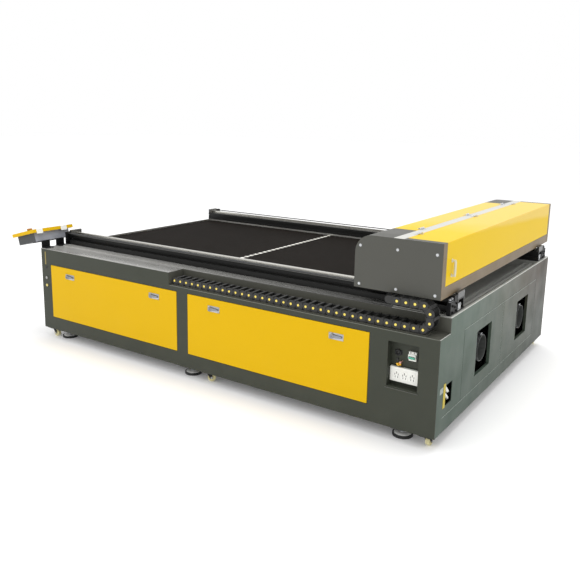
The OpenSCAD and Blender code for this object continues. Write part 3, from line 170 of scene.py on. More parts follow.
class Sock:
    def __init__(self, shader, socket):
        self.shader, self.socket = shader, socket

    def _math(self, op, a, b):
        return self.shader.node("ShaderNodeMath", {"operation": op}, {0: a, 1: b})

    def __add__(self, o): return self._math("ADD", self, o)
    def __radd__(self, o): return self._math("ADD", o, self)
    def __sub__(self, o): return self._math("SUBTRACT", self, o)
    def __rsub__(self, o): return self._math("SUBTRACT", o, self)
    def __mul__(self, o): return self._math("MULTIPLY", self, o)
    def __rmul__(self, o): return self._math("MULTIPLY", o, self)
    def __gt__(self, o): return self._math("GREATER_THAN", self, o)


class Shader:
    NAMES = {"colour": "Base Color", "rough": "Roughness", "metal": "Metallic", "normal": "Normal",
             "coat": "Coat Weight", "coat_rough": "Coat Roughness", "spec": "Specular IOR Level",
             "glow": "Emission Color", "glow_power": "Emission Strength",
             "through": "Transmission Weight", "ior": "IOR", "alpha": "Alpha"}

    def __init__(self, name):
        self.mat = bpy.data.materials.new(name)
        self.mat.use_nodes = True
        self.tree = self.mat.node_tree
        self.bsdf = self.tree.nodes["Principled BSDF"]
        self.place = self.node("ShaderNodeTexCoord", {}, {}, "Object")

    def feed(self, socket, value):
        if isinstance(value, Sock):
            self.tree.links.new(value.socket, socket)
        else:
            socket.default_value = value

    def node(self, kind, settings, sockets, out=0):
        n = self.tree.nodes.new(kind)
        for key, value in settings.items():
            setattr(n, key, value)
        for key, value in sockets.items():
            self.feed(n.inputs[key], value)
        return Sock(self, n.outputs[out])

    def noise(self, scale, detail=3, rough=0.5, place=None):
        return self.node("ShaderNodeTexNoise", {}, {"Vector": place or self.place, "Scale": scale,
                                                    "Detail": detail, "Roughness": rough})

    def streaks(self, scale, detail=4):
        """Noise drawn out along the axis whose scale is the smallest."""
        stretched = self.node("ShaderNodeMapping", {}, {0: self.place, 3: scale})
        return self.noise(1.0, detail, 0.6, stretched)

    def bands(self, axis, scale):
        return self.node("ShaderNodeTexWave", {"bands_direction": axis},
                         {"Vector": self.place, "Scale": scale, "Distortion": 0.0})

    def axis(self, name):
        return self.node("ShaderNodeSeparateXYZ", {}, {0: self.place}, name)

    def mix(self, fac, a, b):
        return self.node("ShaderNodeMix", {"data_type": "RGBA"}, {0: fac, 6: a, 7: b}, 2)

    def clamp(self, value, lo=0.0, hi=1.0, to_lo=0.0, to_hi=1.0):
        return self.node("ShaderNodeMapRange", {}, {0: value, 1: lo, 2: hi, 3: to_lo, 4: to_hi})

    def beyond(self, axis, place, soft=0.0008):
        """0 before a place along an axis, 1 beyond it."""
        return self.clamp(self.axis(axis), place - soft, place + soft)

    def bump(self, height, strength, distance=0.001):
        return self.node("ShaderNodeBump", {}, {"Height": height, "Strength": strength,
                                                "Distance": distance})

    def set(self, **values):
        for key, value in values.items():
            self.feed(self.bsdf.inputs[self.NAMES[key]], value)
        return self.mat


def rgb(r, g, b):
    """An sRGB colour, 0 to 255, as the linear numbers that a shader wants."""
    def lin(v):
        v /= 255
        return v / 12.92 if v <= 0.04045 else ((v + 0.055) / 1.055) ** 2.4
    return (lin(r), lin(g), lin(b), 1)


def shade(colour, k):
    return (colour[0] * k, colour[1] * k, colour[2] * k, 1)


print("shader tools ready")

# %% [markdown]
# Powder coat is sprayed as dust and baked, so it dries with a fine orange peel. On the real
# machine it is a little cloudy, rubbed smoother where hands and stock touch it, and dustier
# near the floor. One function makes every colour of it: fine noise for the peel, broad noise
# for the clouds, and a low band that fades upwards for the dust.

# %% Powder coat


def powder_coat(name, colour, rough=0.45, peel=0.25, dust=0.12, cloud=0.10, spec=0.25):
    s = Shader(name)
    specks = s.noise(260, 2)
    body = s.mix(s.noise(2.3, 4), shade(colour, 1 - cloud), shade(colour, 1 + cloud))
    low = s.clamp(s.axis("Z"), 0.05, 0.32, 1.0, 0.0) * s.clamp(s.noise(9, 5, 0.65), 0.45, 0.75)
    tint = s.mix(low * dust, body, (0.30, 0.28, 0.25, 1))
    tint = s.mix((specks > 0.73) * 0.25, tint, shade(colour, 0.6))
    rubbed = s.clamp(s.noise(5.5, 5, 0.6), 0.35, 0.7, -0.05, 0.07)
    return s.set(colour=tint, rough=rubbed + rough, spec=spec,
                 normal=s.bump(s.noise(420, 3), peel, 0.0004))


cabinet_coat = powder_coat("cabinet_coat", rgb(54, 57, 48), 0.48, dust=0.03)
yellow_coat = powder_coat("yellow_coat", rgb(210, 168, 1), 0.4, peel=0.2, dust=0.02, cloud=0.03,
                          spec=0.11)
frame_paint = powder_coat("frame_paint", rgb(38, 38, 38), 0.5, dust=0.5)
black_paint = powder_coat("black_paint", rgb(22, 22, 22), 0.5, dust=0)
ledge_coat = powder_coat("ledge_coat", rgb(78, 78, 71), 0.4, dust=0)
print("coats:", [m.name for m in (cabinet_coat, yellow_coat, frame_paint, black_paint, ledge_coat)])

# %% [markdown]
# Metal shows how it was made. Ground steel and mill-finish aluminium carry fine lines along
# their length, zinc plate is cloudy, black anodising is even and slightly satin. The lines are
# noise stretched along one axis: the Mapping node squeezes the pattern in the other two.

# %% Metals


def metal(name, colour, rough, along=(1, 60, 60), line=0.12, bright=0.12, is_metal=1.0,
          cloud_scale=4.0):
    s = Shader(name)
    lines = s.streaks((along[0] * 6, along[1] * 6, along[2] * 6))
    clouds = s.noise(cloud_scale, 4)
    tint = s.mix(lines, shade(colour, 1 - bright), shade(colour, 1 + bright))
    tint = s.mix(s.clamp(clouds, 0.4, 0.8, 0, 0.3), tint, shade(colour, 0.7))
    return s.set(colour=tint, metal=is_metal, normal=s.bump(lines, 0.08, 0.0003),
                 rough=lines * line + s.clamp(clouds, 0.3, 0.8, 0, 0.1) + rough)


rail_black = metal("rail_black", rgb(34, 34, 33), 0.36, is_metal=0.6)
ground_steel = metal("ground_steel", rgb(205, 203, 196), 0.22)
black_oxide = metal("black_oxide", rgb(26, 26, 27), 0.42, along=(8, 8, 8), is_metal=0.7)
mill_aluminium = metal("mill_aluminium", rgb(196, 195, 190), 0.3, along=(60, 1, 60))
machined_aluminium = metal("machined_aluminium", rgb(150, 152, 152), 0.34, along=(30, 1, 30))
zinc_plate = metal("zinc_plate", rgb(178, 180, 182), 0.3, along=(5, 5, 5), cloud_scale=30)
# The foot's dish is painted near white and not metal: a painted reflection of the bright floor, as
# it lies in shade under the cabinet.
dish_painted_reflection = metal("dish_painted_reflection", rgb(244, 244, 240), 0.35, along=(5, 5, 5), cloud_scale=30,
                  is_metal=0.0)
chrome = metal("chrome", rgb(225, 226, 228), 0.08, along=(10, 10, 10), bright=0.03, line=0.04)
brass = metal("brass", rgb(214, 168, 62), 0.24, along=(20, 20, 20))
print("materials so far:", len(bpy.data.materials))

# %% [markdown]
# Plastics and rubber have no clouds of metal in them. A moulded part has a fine even texture,
# a slight change of gloss where it was handled, and a colour that hardly changes.

# %% Plastics and rubber


def plastic(name, colour, rough=0.4, grain=600, texture=0.15, coat=0.0):
    s = Shader(name)
    tint = s.mix(s.noise(14, 4), shade(colour, 0.94), shade(colour, 1.06))
    wear_and_sheen = s.clamp(s.noise(22, 4, 0.65), 0.35, 0.7, -0.06, 0.08)
    return s.set(colour=tint, rough=wear_and_sheen + rough, coat=coat, coat_rough=0.15,
                 normal=s.bump(s.noise(grain, 2), texture, 0.0003))


black_plastic = plastic("black_plastic", rgb(26, 26, 26), 0.38)
chain_nylon = plastic("chain_nylon", rgb(30, 30, 29), 0.42, texture=0.25)
white_plastic = plastic("white_plastic", rgb(228, 228, 222), 0.28, coat=0.2)
green_plastic = plastic("green_plastic", rgb(64, 168, 140), 0.3)
grey_plastic = plastic("grey_plastic", rgb(150, 150, 148), 0.3)
amber_plastic = plastic("amber_plastic", rgb(206, 190, 110), 0.28)
ochre_plastic = plastic("ochre_plastic", rgb(170, 116, 40), 0.32)
panel_film = plastic("panel_film", rgb(58, 72, 84), 0.3)
blower_plastic = plastic("blower_plastic", rgb(68, 70, 68), 0.45)
black_rubber = plastic("black_rubber", rgb(24, 24, 24), 0.62, grain=350, texture=0.35)
wheel_plastic = plastic("wheel_plastic", rgb(206, 198, 150), 0.3)
print("materials so far:", len(bpy.data.materials))

# %% [markdown]
# Four finishes need a pattern of their own. The bed is aluminium foil folded into hexagon
# cells about 12 mm wide: a Voronoi pattern's cell edges read as the foil's upper edges, and
# the cells between them are painted near black, a painted shade of their depth. The bar
# between its panels has slots, painted dark as painted shade in the holes. The drive belts
# have teeth across them every 5 mm. The laser tube is clear glass.

# %% Honeycomb, slots, belt and glass


def honeycomb():
    s = Shader("honeycomb_foil")
    cells = s.node("ShaderNodeTexVoronoi",
                   {"feature": "DISTANCE_TO_EDGE", "voronoi_dimensions": "2D"},
                   {"Vector": s.place, "Scale": 85.0, "Randomness": 0.25})
    wall = s.clamp(cells, 0.03, 0.10, 1.0, 0.0)
    # The cells between the foil's edges are painted near black: a painted shade of their depth.
    painted_cell_shade = s.mix(s.noise(3.1, 5), rgb(14, 12, 10), rgb(25, 22, 19))
    return s.set(colour=s.mix(wall * 0.3, painted_cell_shade, rgb(66, 58, 52)), metal=wall * 0.3,
                 rough=0.85 - wall * 0.2, normal=s.bump(wall, 0.5, 0.002), spec=0.04)


def slotted_bar():
    s = Shader("slotted_bar")
    # The slots are painted dark bands: painted shade in the holes.
    dark = s.clamp(s.bands("Y", 6.0), 0.4, 0.6)
    return s.set(colour=s.mix(dark, rgb(238, 236, 228), rgb(96, 92, 84)), metal=0.2,
                 rough=s.noise(40, 3) * 0.2 + 0.3)


def toothed_belt():
    s = Shader("toothed_belt")
    fabric = s.noise(900, 2)
    return s.set(colour=s.mix(fabric, rgb(20, 20, 20), rgb(34, 34, 34)), rough=fabric * 0.15 + 0.55,
                 normal=s.bump(s.bands("X", 62.8), 0.7, 0.001))


def clear_glass():
    s = Shader("clear_glass")
    return s.set(colour=(0.86, 0.93, 0.95, 1), rough=s.clamp(s.noise(30, 3), 0.4, 0.8, 0.02, 0.08),
                 through=1.0, ior=1.47, alpha=0.55)


comb_foil, bar_metal = honeycomb(), slotted_bar()
belt_rubber, tube_glass = toothed_belt(), clear_glass()
print("patterned:", comb_foil.name, bar_metal.name, belt_rubber.name, tube_glass.name)

# %% [markdown]
# Some solids carry more than one finish: a lid's sheet is yellow, its hinge leaves are chrome
# and its handle is ivory. Where a solid has such parts, its finish looks at the place on the
# object and picks the coat, so the mesh needs no change. The gantry comes first.

# %% Finishes that change with place on the gantry
housing_lo, housing_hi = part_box("gantry_end_plates")
shell_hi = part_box("gantry_shell")[1]
LEAF_CHROME, IVORY = rgb(225, 226, 228), rgb(204, 201, 182)


def clouded(s, a, b):
    return s.mix(s.noise(2.3, 4), a, b)


def handled(s, lo, hi):
    """Roughness that changes in broad patches, from lo to hi."""
    return s.clamp(s.noise(5.5, 5), 0.35, 0.7, lo, hi)


def orange_peel(s, strength):
    return s.bump(s.noise(420, 3), strength, 0.0004)


def hinge_leaf(s):
    """1 on the hinge leaves, which are the only faces above the housing."""
    return s.beyond("Z", housing_hi.z + 0.0003, 0.0001)


def lid_finish():
    s = Shader("lid_coat")
    leaf, sheet = hinge_leaf(s), rgb(219, 183, 1)
    grip = s.beyond("X", housing_hi.x + 0.0008, 0.0003)
    yellow = clouded(s, shade(sheet, 0.97), shade(sheet, 1.03))
    high = s.clamp(s.axis("Z") + s.axis("Y") * 0.055 + s.noise(3, 2) * 0.02, 0.995, 1.02)
    return s.set(colour=s.mix(leaf, s.mix(grip, yellow, IVORY), LEAF_CHROME), metal=leaf,
                 rough=0.36 - leaf * 0.22, coat=high * 0.5, coat_rough=0.3, spec=0.045,
                 normal=orange_peel(s, 0.2))


def strip_finish():
    s = Shader("hinge_strip_coat")
    leaf = hinge_leaf(s)
    sheet = s.mix(s.noise(6, 3), rgb(178, 178, 172), rgb(194, 194, 188))
    return s.set(colour=s.mix(leaf, sheet, LEAF_CHROME), metal=leaf, rough=0.4 - leaf * 0.26,
                 spec=0.4)


def housing_finish():
    s = Shader("gantry_coat")
    # The shell's right side is painted warm and streaked: a painted reflection, not a tone of its
    # paint.
    side = s.beyond("X", shell_hi.x - 0.0012, 0.0003)
    grey = clouded(s, rgb(76, 76, 71), rgb(81, 81, 76))
    painted_warm_reflection = s.mix(s.streaks((6, 1.5, 60)), rgb(104, 91, 71), rgb(123, 106, 82))
    screw = s.beyond("Y", housing_hi.y - 0.0028, 0.0001) \
        + (1 - s.beyond("Y", housing_lo.y + 0.0028, 0.0001))
    return s.set(colour=s.mix(screw, s.mix(side, grey, painted_warm_reflection), rgb(190, 192, 194)), metal=screw,
                 rough=handled(s, 0.38, 0.5) - screw * 0.15, spec=0.2, normal=orange_peel(s, 0.25))


lid_coat, strip_coat, housing_coat = lid_finish(), strip_finish(), housing_finish()
print("gantry finishes:", lid_coat.name, strip_coat.name, housing_coat.name)

# %% [markdown]
# The cabinet's sheets change too. The deck is bare and brushed in the tray under the gantry,
# and painted pale along the front as a painted sheen. The right end turns from a greenish grey
# near the front to a painted warm reflection at the back, and is painted brighter towards its
# top and front. The guide rails are ground, with dark caps at their ends.

# %% Finishes that change with place on the cabinet


def guide_finish():
    s = Shader("guide_rail_steel")
    end = s.beyond("X", deck_hi.x - 0.0305) + (1 - s.beyond("X", deck_lo.x + 0.0305))
    lines = s.streaks((6, 300, 300))
    steel = s.mix(lines, rgb(190, 188, 180), rgb(220, 218, 210))
    return s.set(colour=s.mix(end, steel, rgb(70, 70, 69)), metal=1 - end * 0.5,
                 rough=lines * 0.12 + 0.22)


def deck_finish():
    s = Shader("deck_coat")
    tray = s.beyond("X", deck_hi.x - 0.318) * (1 - s.beyond("Z", deck_hi.z - 0.002))
    bare = s.mix(s.streaks((14, 0.7, 14)), rgb(130, 131, 127), rgb(192, 192, 186))
    # A painted sheen: the front strip is painted pale, most at the far left end, with streaks along
    # it.
    strip = (1 - s.beyond("Y", deck_lo.y + 0.236, 0.01)) \
        * s.clamp(s.axis("X"), deck_lo.x + 0.2, deck_lo.x + 2.6, 1.0, 0.12)
    wear_and_sheen = s.mix(s.streaks((0.5, 9, 9)), rgb(126, 125, 122), rgb(190, 189, 185))
    grey = s.mix(strip, clouded(s, rgb(50, 50, 48), rgb(57, 57, 55)), wear_and_sheen)
    return s.set(colour=s.mix(tray, grey, bare), rough=handled(s, 0.2, 0.3) + tray * 0.15,
                 coat=0.7 - tray * 0.6, coat_rough=0.1, spec=0.5,
                 normal=s.bump(s.noise(300, 3), 0.1, 0.0002))


def end_finish():
    s = Shader("end_coat")
    # The back and top are painted warm: a painted reflection, not the paint's own tone.
    far = s.clamp(s.axis("Y"), -0.6, 0.7) * s.clamp(s.axis("Z"), 0.25, 0.6, 0.4, 1.0)
    # Streaks of painted glints run through both tones.
    painted_glint_streaks = s.streaks((1, 9, 0.5), 5)
    green = s.mix(painted_glint_streaks, rgb(59, 74, 64), rgb(77, 91, 81))
    painted_warm_reflection = s.mix(painted_glint_streaks, rgb(40, 36, 30), rgb(86, 74, 58))
    # lit paints light on: the sheet is painted brighter towards its top and its front.
    lit = s.clamp(s.axis("Z"), 0.3, 0.64, 0.93, 1.24) * s.clamp(s.axis("Y"), 0.1, 0.9, 1.0, 0.72)
    sheet = s.node("ShaderNodeVectorMath", {"operation": "SCALE"},
                   {0: s.mix(far, green, painted_warm_reflection), 3: lit})
    tag = s.beyond("X", deck_hi.x + 0.0002, 0.0001)
    small = 1 - s.beyond("Y", at(0, 79, 0).y)
    tags = s.mix(small, rgb(186, 166, 52), rgb(150, 158, 154))
    return s.set(colour=s.mix(tag, sheet, tags), rough=handled(s, 0.36, 0.48), spec=0.15,
                 normal=orange_peel(s, 0.25))


def hose_finish():
    s = Shader("brass_or_white_hose")
    hose = s.beyond("X", deck_hi.x - 0.1)
    return s.set(colour=s.mix(hose, rgb(214, 168, 62), rgb(232, 232, 226)), metal=1 - hose,
                 rough=s.noise(30, 3) * 0.1 + 0.24)


guide_steel, deck_coat = guide_finish(), deck_finish()
end_coat, fittings_finish = end_finish(), hose_finish()
print("cabinet finishes:", guide_steel.name, deck_coat.name, end_coat.name, fittings_finish.name)

# %% [markdown]
# The console's front face is painted pale, a painted highlight of the light on that face. The
# console is tilted, so the face can't be told by X alone. The finish measures along the slope
# instead, which is a sum of X and Z.

# %% The console's finish
CONSOLE_SLOPE, CONSOLE_PIVOT = math.radians(14.5), at(-40, -10, 695)


def console_finish():
    s = Shader("console_coat")
    run, drop = math.cos(CONSOLE_SLOPE), math.sin(CONSOLE_SLOPE)
    along = s.axis("X") * run + s.axis("Z") * drop
    edge = CONSOLE_PIVOT.x * run + CONSOLE_PIVOT.z * drop
    # The front face is painted pale: a painted highlight.
    front = s.clamp(along, edge - 0.0012, edge - 0.0006)
    dark = s.mix(s.noise(8, 4), rgb(58, 60, 60), rgb(66, 68, 70))
    painted_lit_face = s.mix(s.noise(5, 3), rgb(140, 142, 148), rgb(158, 160, 168))
    return s.set(colour=s.mix(front, dark, painted_lit_face), rough=0.45 - front * 0.15, spec=0.3)


console_coat = console_finish()
print("materials so far:", len(bpy.data.materials))

# %% [markdown]
# Now each solid of the frame gets its finish. A table keeps that readable: one finish, then
# the pieces that share it. The meshes stay as they are, only their material slots change.

# %% Give the frame's solids their finishes
finish_of = {
    cabinet_coat: ["front_panel", "rear_and_left_panels", "power_recess"],
    ledge_coat: ["chain_tray"],
    end_coat: ["right_end_panels"],
    deck_coat: ["deck"],
    frame_paint: ["base_frame"],
    housing_coat: ["gantry_end_plates", "gantry_shell"],
    strip_coat: ["hinge_strip"],
    yellow_coat: ["left_door", "right_door", "console_cover"],
    lid_coat: ["left_lid", "right_lid"],
    console_coat: ["console_case"],
    rail_black: ["rail_beams"],
    guide_steel: ["guide_rails"],
    ground_steel: ["bearing_blocks", "drive_shaft"],
    black_oxide: ["belt_tensioners", "console_bracket", "drive_motor", "head_drive"],
    mill_aluminium: ["bed_rim"],
    bar_metal: ["centre_bar"],
    machined_aluminium: ["gantry_beam", "tube_and_mirror_mounts", "head_carriage"],
    zinc_plate: ["waste_chute", "electronics_plate", "levelling_feet"],
    chrome: [f"latch_{i}" for i in range(1, 5)],
    fittings_finish: ["hose_fittings"],
    brass: ["lens_tube"],
    comb_foil: ["honeycomb_panels"],
    belt_rubber: ["drive_belts"],
    tube_glass: ["laser_tube"],
    black_plastic: ["panel_ports"],
    chain_nylon: ["chain_lower_run", "chain_bend", "chain_upper_run"],
    white_plastic: ["outlets_and_breaker"],
    green_plastic: ["breaker_toggle"],
    grey_plastic: ["post_button_grey"],
    amber_plastic: ["post_button_amber"],
    ochre_plastic: ["estop_button"],
    panel_film: ["control_panel"],
    blower_plastic: ["blower_housings", "blower_wheel_1", "blower_wheel_2"],
    wheel_plastic: [f"caster_{i}" for i in range(1, 7)],
}
done = set()
for finish, names in finish_of.items():
    for name in names:
        mesh = nodes[name].data
        mesh.materials.clear()
        mesh.materials.append(finish)
        done.add(name)
print("finished:", len(done), "left:", sorted(set(nodes) - done))

# %% [markdown]
# ## Modelling helpers
# Every new piece starts as a primitive of the right size at the right place, and is then
# shaped by edit-mode operators. The first helpers start a block or a round bar. A piece ends
# with its object at the origin, so its place is in its mesh.

# %% Helpers that start a piece
AXIS_TURN = {"x": (0, math.pi / 2, 0), "y": (-math.pi / 2, 0, 0), "z": (0, 0, 0)}
AXIS_WAY = {"x": Vector((1, 0, 0)), "y": Vector((0, 1, 0)), "z": Vector((0, 0, 1))}


def rest():
    """Back to object mode, with nothing selected."""
    if bpy.context.object and bpy.context.object.mode != "OBJECT":
        bpy.ops.object.mode_set(mode="OBJECT")
    bpy.ops.object.select_all(action="DESELECT")


def only(*objs):
    rest()
    for o in objs:
        o.select_set(True)
    bpy.context.view_layer.objects.active = objs[0]


def settled(name):
    obj = bpy.context.object
    obj.name = obj.data.name = name
    bpy.ops.object.transform_apply(location=True, rotation=True, scale=True)
    return obj


def new_block(name, lo, hi):
    rest()
    bpy.ops.mesh.primitive_cube_add(size=1, location=(lo + hi) / 2, scale=hi - lo)
    return settled(name)


def new_bar(name, start, r, length, axis, sides=32, r2=None):
    """A round bar, or a cone where r2 gives its far end another radius."""
    rest()
    spot = {"location": start + AXIS_WAY[axis] * length / 2, "rotation": AXIS_TURN[axis]}
    if r2 is None:
        bpy.ops.mesh.primitive_cylinder_add(vertices=sides, radius=r, depth=length, **spot)
    else:
        bpy.ops.mesh.primitive_cone_add(vertices=sides, radius1=r, radius2=r2, depth=length, **spot)
    return settled(name)


print("axes:", sorted(AXIS_WAY))

# %% [markdown]
# An operator acts on what is selected, so `pick` selects faces or corners by a test on their
# place or direction. `facing` and `middle` are the two tests that are wanted most: all faces
# that look one way, and the one that also lies round an axis. The rest of the helpers pick,
# act once and go back to rest.

# %% Helpers that shape a piece


def pick(obj, test, kind="FACE"):
    only(obj)
    bpy.ops.object.mode_set(mode="EDIT")
    bpy.ops.mesh.select_mode(type=kind)
    bpy.ops.mesh.select_all(action="DESELECT")
    bpy.ops.object.mode_set(mode="OBJECT")
    if kind == "FACE":
        for f in obj.data.polygons:
            f.select = test(f.center, f.normal)
    else:
        for v in obj.data.vertices:
            v.select = test(v.co)
    bpy.ops.object.mode_set(mode="EDIT")


def everything(centre, normal):
    return True


def facing(way):
    way = Vector(way).normalized()
    return lambda centre, normal: normal.dot(way) > 0.9


TOP, FRONT = facing((0, 0, 1)), facing((0, -1, 0))


def middle(way, place, r):
    """Faces that look along way and whose centre is within r of the axis through place."""
    way = Vector(way).normalized()
    return lambda centre, normal: normal.dot(way) > 0.9 and (centre - place).cross(way).length < r


def inset(obj, test, width, depth=0.0):
    pick(obj, test)
    bpy.ops.mesh.inset(thickness=width, depth=depth)
    rest()


def extrude(obj, test, move):
    pick(obj, test)
    bpy.ops.mesh.extrude_region_move(TRANSFORM_OT_translate={"value": move})
    rest()


def moved(obj, test, move, kind="VERT"):
    pick(obj, test, kind)
    bpy.ops.transform.translate(value=move)
    rest()


def cut_away(obj, test):
    pick(obj, test)
    bpy.ops.mesh.delete(type="FACE")
    rest()


def faces_out(obj):
    pick(obj, everything)
    bpy.ops.mesh.normals_make_consistent(inside=False)
    rest()


def with_modifier(obj, kind, **settings):
    only(obj)
    mod = obj.modifiers.new(kind.lower(), kind)
    for key, value in settings.items():
        setattr(mod, key, value)
    bpy.ops.object.modifier_apply(modifier=mod.name)
    return obj


def rounded(obj, width, segments=2, angle=35):
    return with_modifier(obj, "BEVEL", width=width, segments=segments, limit_method="ANGLE",
                         angle_limit=math.radians(angle))


print("shaping helpers ready")

# %% [markdown]
# What repeats is modelled once and copied, each copy with a mesh of its own, and the first
# one is then discarded. `dress` ends a piece: it gives the finish, the smooth shading, the
# slot, and the body that the piece moves with.

# %% Helpers that copy, join and dress


def joined(name, objs):
    only(*objs)
    if len(objs) > 1:
        bpy.ops.object.join()
    obj = bpy.context.object
    obj.name = obj.data.name = name
    return obj


def copied(obj, name, matrix):
    twin = bpy.data.objects.new(name, obj.data.copy())
    twin.data.name = name
    twin.data.transform(matrix)
    bpy.context.scene.collection.objects.link(twin)
    return twin


def shifted(x, y, z):
    return Matrix.Translation(mm(x, y, z))


def turned(about, degrees, axis):
    turn = Matrix.Rotation(math.radians(degrees), 4, axis)
    return Matrix.Translation(about) @ turn @ Matrix.Translation(-about)


def discard(*objs):
    for o in objs:
        bpy.data.objects.remove(o)


made = []


def dress(obj, finish, body="cabinet"):
    obj.data.materials.clear()
    obj.data.materials.append(finish)
    only(obj)
    bpy.ops.object.shade_smooth_by_angle(angle=math.radians(32))
    rest()
    if body:
        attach(obj, body)
    made.append(obj.name)
    return obj


print("copying helpers ready")

# %% [markdown]
# ## The energy chain
# Cables and hoses reach the moving gantry through a chain of black nylon links, 47.7 mm from
# pin to pin. A link has two side plates with a round eye at each end, and two bars across.
# The plates are circles: half of the ring is pulled out to make a long eye, and the outline
# is extruded to its thickness. Pale plugs close the pins, and make the chain's dotted line.

# %% One link of the chain
PITCH, EYE_R, LANE, CHAIN_W, CHAIN_H = 47.7, 20.0, 3.5, 77, 46
EYE_REACH, BAR_HALF, BAR_T, PLUG_OUT, PLUG_T = 9, 8, 4, 1.6, 2.4
pin0 = at(1279.2, 20, 602)


def from_pin(x, y, z):
    return pin0 + mm(x, y, z)


def eye_plate(name, x0, x1, y):
    rest()
    bpy.ops.mesh.primitive_circle_add(vertices=28, radius=EYE_R / 1000, fill_type="NGON",
                                      rotation=(math.pi / 2, 0, 0), location=from_pin(x0, y, 0))
    plate = settled(name)
    moved(plate, lambda co: co.x > pin0.x + x0 / 1000 + 0.0001, ((x1 - x0) / 1000, 0, 0))
    extrude(plate, everything, (0, LANE / 1000, 0))
    faces_out(plate)
    return rounded(plate, 0.0009, 1, 50)


def link_half(mirror):
    outer = eye_plate("eye_outer", 0, EYE_REACH, 0)
    inner = eye_plate("eye_inner", PITCH - EYE_REACH, PITCH, LANE + 0.2)
    web = new_block("web", from_pin(20.5, -0.4, -CHAIN_H / 2),
                    from_pin(27.2, 2 * LANE + 0.2, CHAIN_H / 2))
    half = joined("link_half", [outer, inner, rounded(web, 0.0012, 1)])
    if mirror:
        pick(half, everything)
        bpy.ops.transform.resize(value=(1, -1, 1), center_override=from_pin(0, CHAIN_W / 2, 0))
        rest()
        faces_out(half)
    return half


bars = []
for z, way in ((-CHAIN_H / 2, -1), (CHAIN_H / 2 - BAR_T, 1)):
    bar = new_block("bar", from_pin(PITCH / 2 - BAR_HALF, 1, z),
                    from_pin(PITCH / 2 + BAR_HALF, CHAIN_W - 1, z + BAR_T))
    inset(bar, facing((0, 0, way)), 0.003, -0.001)
    bars.append(rounded(bar, 0.0008, 1))
link = joined("chain_link", [link_half(False), link_half(True)] + bars)
plugs = []
for y, way in ((-PLUG_OUT, -1), (CHAIN_W + PLUG_OUT - PLUG_T, 1)):
    plug = new_bar("plug", from_pin(0, y, 0), 0.0068, PLUG_T / 1000, "y", 20)
    inset(plug, facing((0, way, 0)), 0.0022, -0.0006)
    plugs.append(rounded(plug, 0.0005, 1))
link_plugs = joined("link_plugs", plugs)
print("link faces:", len(link.data.polygons), "plug faces:", len(link_plugs.data.polygons))

# %% [markdown]
# The link is repeated with an Array modifier: 34 times for the lower run, four times for the
# upper run, which lies the other way up. Three links make the bend. The real chain rolls as
# the gantry travels. Here the lower run stays with the cabinet, the bend rides on the frame's
# chain bend, and the upper run is joined to no body.

# %% The three parts of the chain
plug_cream = plastic("plug_cream", rgb(238, 214, 96), 0.35)
LOWER_LINKS, UPPER_LINKS, BEND_SLOPES, BEND_TRAVEL = 34, 4, (49, 90, 131), 1.22


def run_of(piece, name, count, place):
    return with_modifier(copied(piece, name, place), "ARRAY", count=count,
                         use_relative_offset=False, use_constant_offset=True,
                         constant_offset_displace=place.to_3x3() @ mm(PITCH, 0, 0))


bend_pin = from_pin(LOWER_LINKS * PITCH, 0, 0)
rise = PITCH * (2 * math.sin(math.radians(BEND_SLOPES[0])) + 1)
upper_pin = bend_pin + mm(0, 0, rise)
over = Matrix.Translation(upper_pin - pin0) @ turned(pin0, 180, "Y")
upper_end = upper_pin - mm(UPPER_LINKS * PITCH, 0, 0)
for piece, kind, finish in ((link, "links", chain_nylon), (link_plugs, "plugs", plug_cream)):
    lower = run_of(piece, f"chain_lower_{kind}", LOWER_LINKS, Matrix.Identity(4))
    dress(lower, finish)
    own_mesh(lower)
    upper = run_of(piece, f"chain_upper_{kind}", UPPER_LINKS, over)
    dress(upper, finish, None)
    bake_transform(upper)
    pin, parts = bend_pin, []
    for deg in BEND_SLOPES:
        slope = math.radians(deg)
        place = Matrix.Translation(pin - pin0) @ turned(pin0, -deg, "Y")
        parts.append(copied(piece, "bend_part", place))
        pin = pin + Vector((math.cos(slope), 0, math.sin(slope))) * PITCH / 1000
    bend = dress(joined(f"chain_bend_{kind}", parts), finish, "chain_bend")
    if kind == "links":
        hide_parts("chain_lower_run")
        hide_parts("chain_upper_run")
        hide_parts("chain_bend")
discard(link, link_plugs)
print("bend top pin off by", round((pin - upper_pin).length * 1000, 2), "mm")

# %% [markdown]
# Both ends of the chain are screwed to bent steel straps. The straps are blocks with one
# face pulled out, and their screws are short bars with a countersunk hexagon.

# %% Straps at the chain's ends


def socket_screw(place, r, tall, axis, way=1):
    """A screw with a cylindrical head and a hexagon socket; way is +1 or -1 along the axis."""
    out = AXIS_WAY[axis] * way
    head = new_bar("screw", place if way > 0 else place - AXIS_WAY[axis] * tall, r, tall, axis, 24)
    inset(head, facing(out), r * 0.42)
    extrude(head, middle(out, place, r * 0.3), out * -tall * 0.6)
    return rounded(head, r * 0.08, 1, 50)


anchor = new_block("chain_anchor", at(1258, 28, 579), at(1292, 89, 602))
dress(rounded(anchor, 0.002), black_oxide)
strap_x = (upper_end.x - corner_x) * 1000
strap = new_block("strap", at(strap_x - 14, 28, 718), at(strap_x + 14, 89, 722))
extrude(strap, TOP, (0, 0, 0.026))
strap_top = new_block("strap_top", at(strap_x - 14, 28, 743), at(strap_x + 14, 170, 747))
screws = [socket_screw(at(strap_x, y, 743), 0.005, 0.004, "z", -1) for y in (110, 130, 150)]
strap = rounded(joined("chain_gantry_strap", [strap, strap_top]), 0.0012)
dress(strap, black_oxide, "gantry")
dress(joined("chain_strap_screws", screws), zinc_plate, "gantry")
print("made:", len(made))

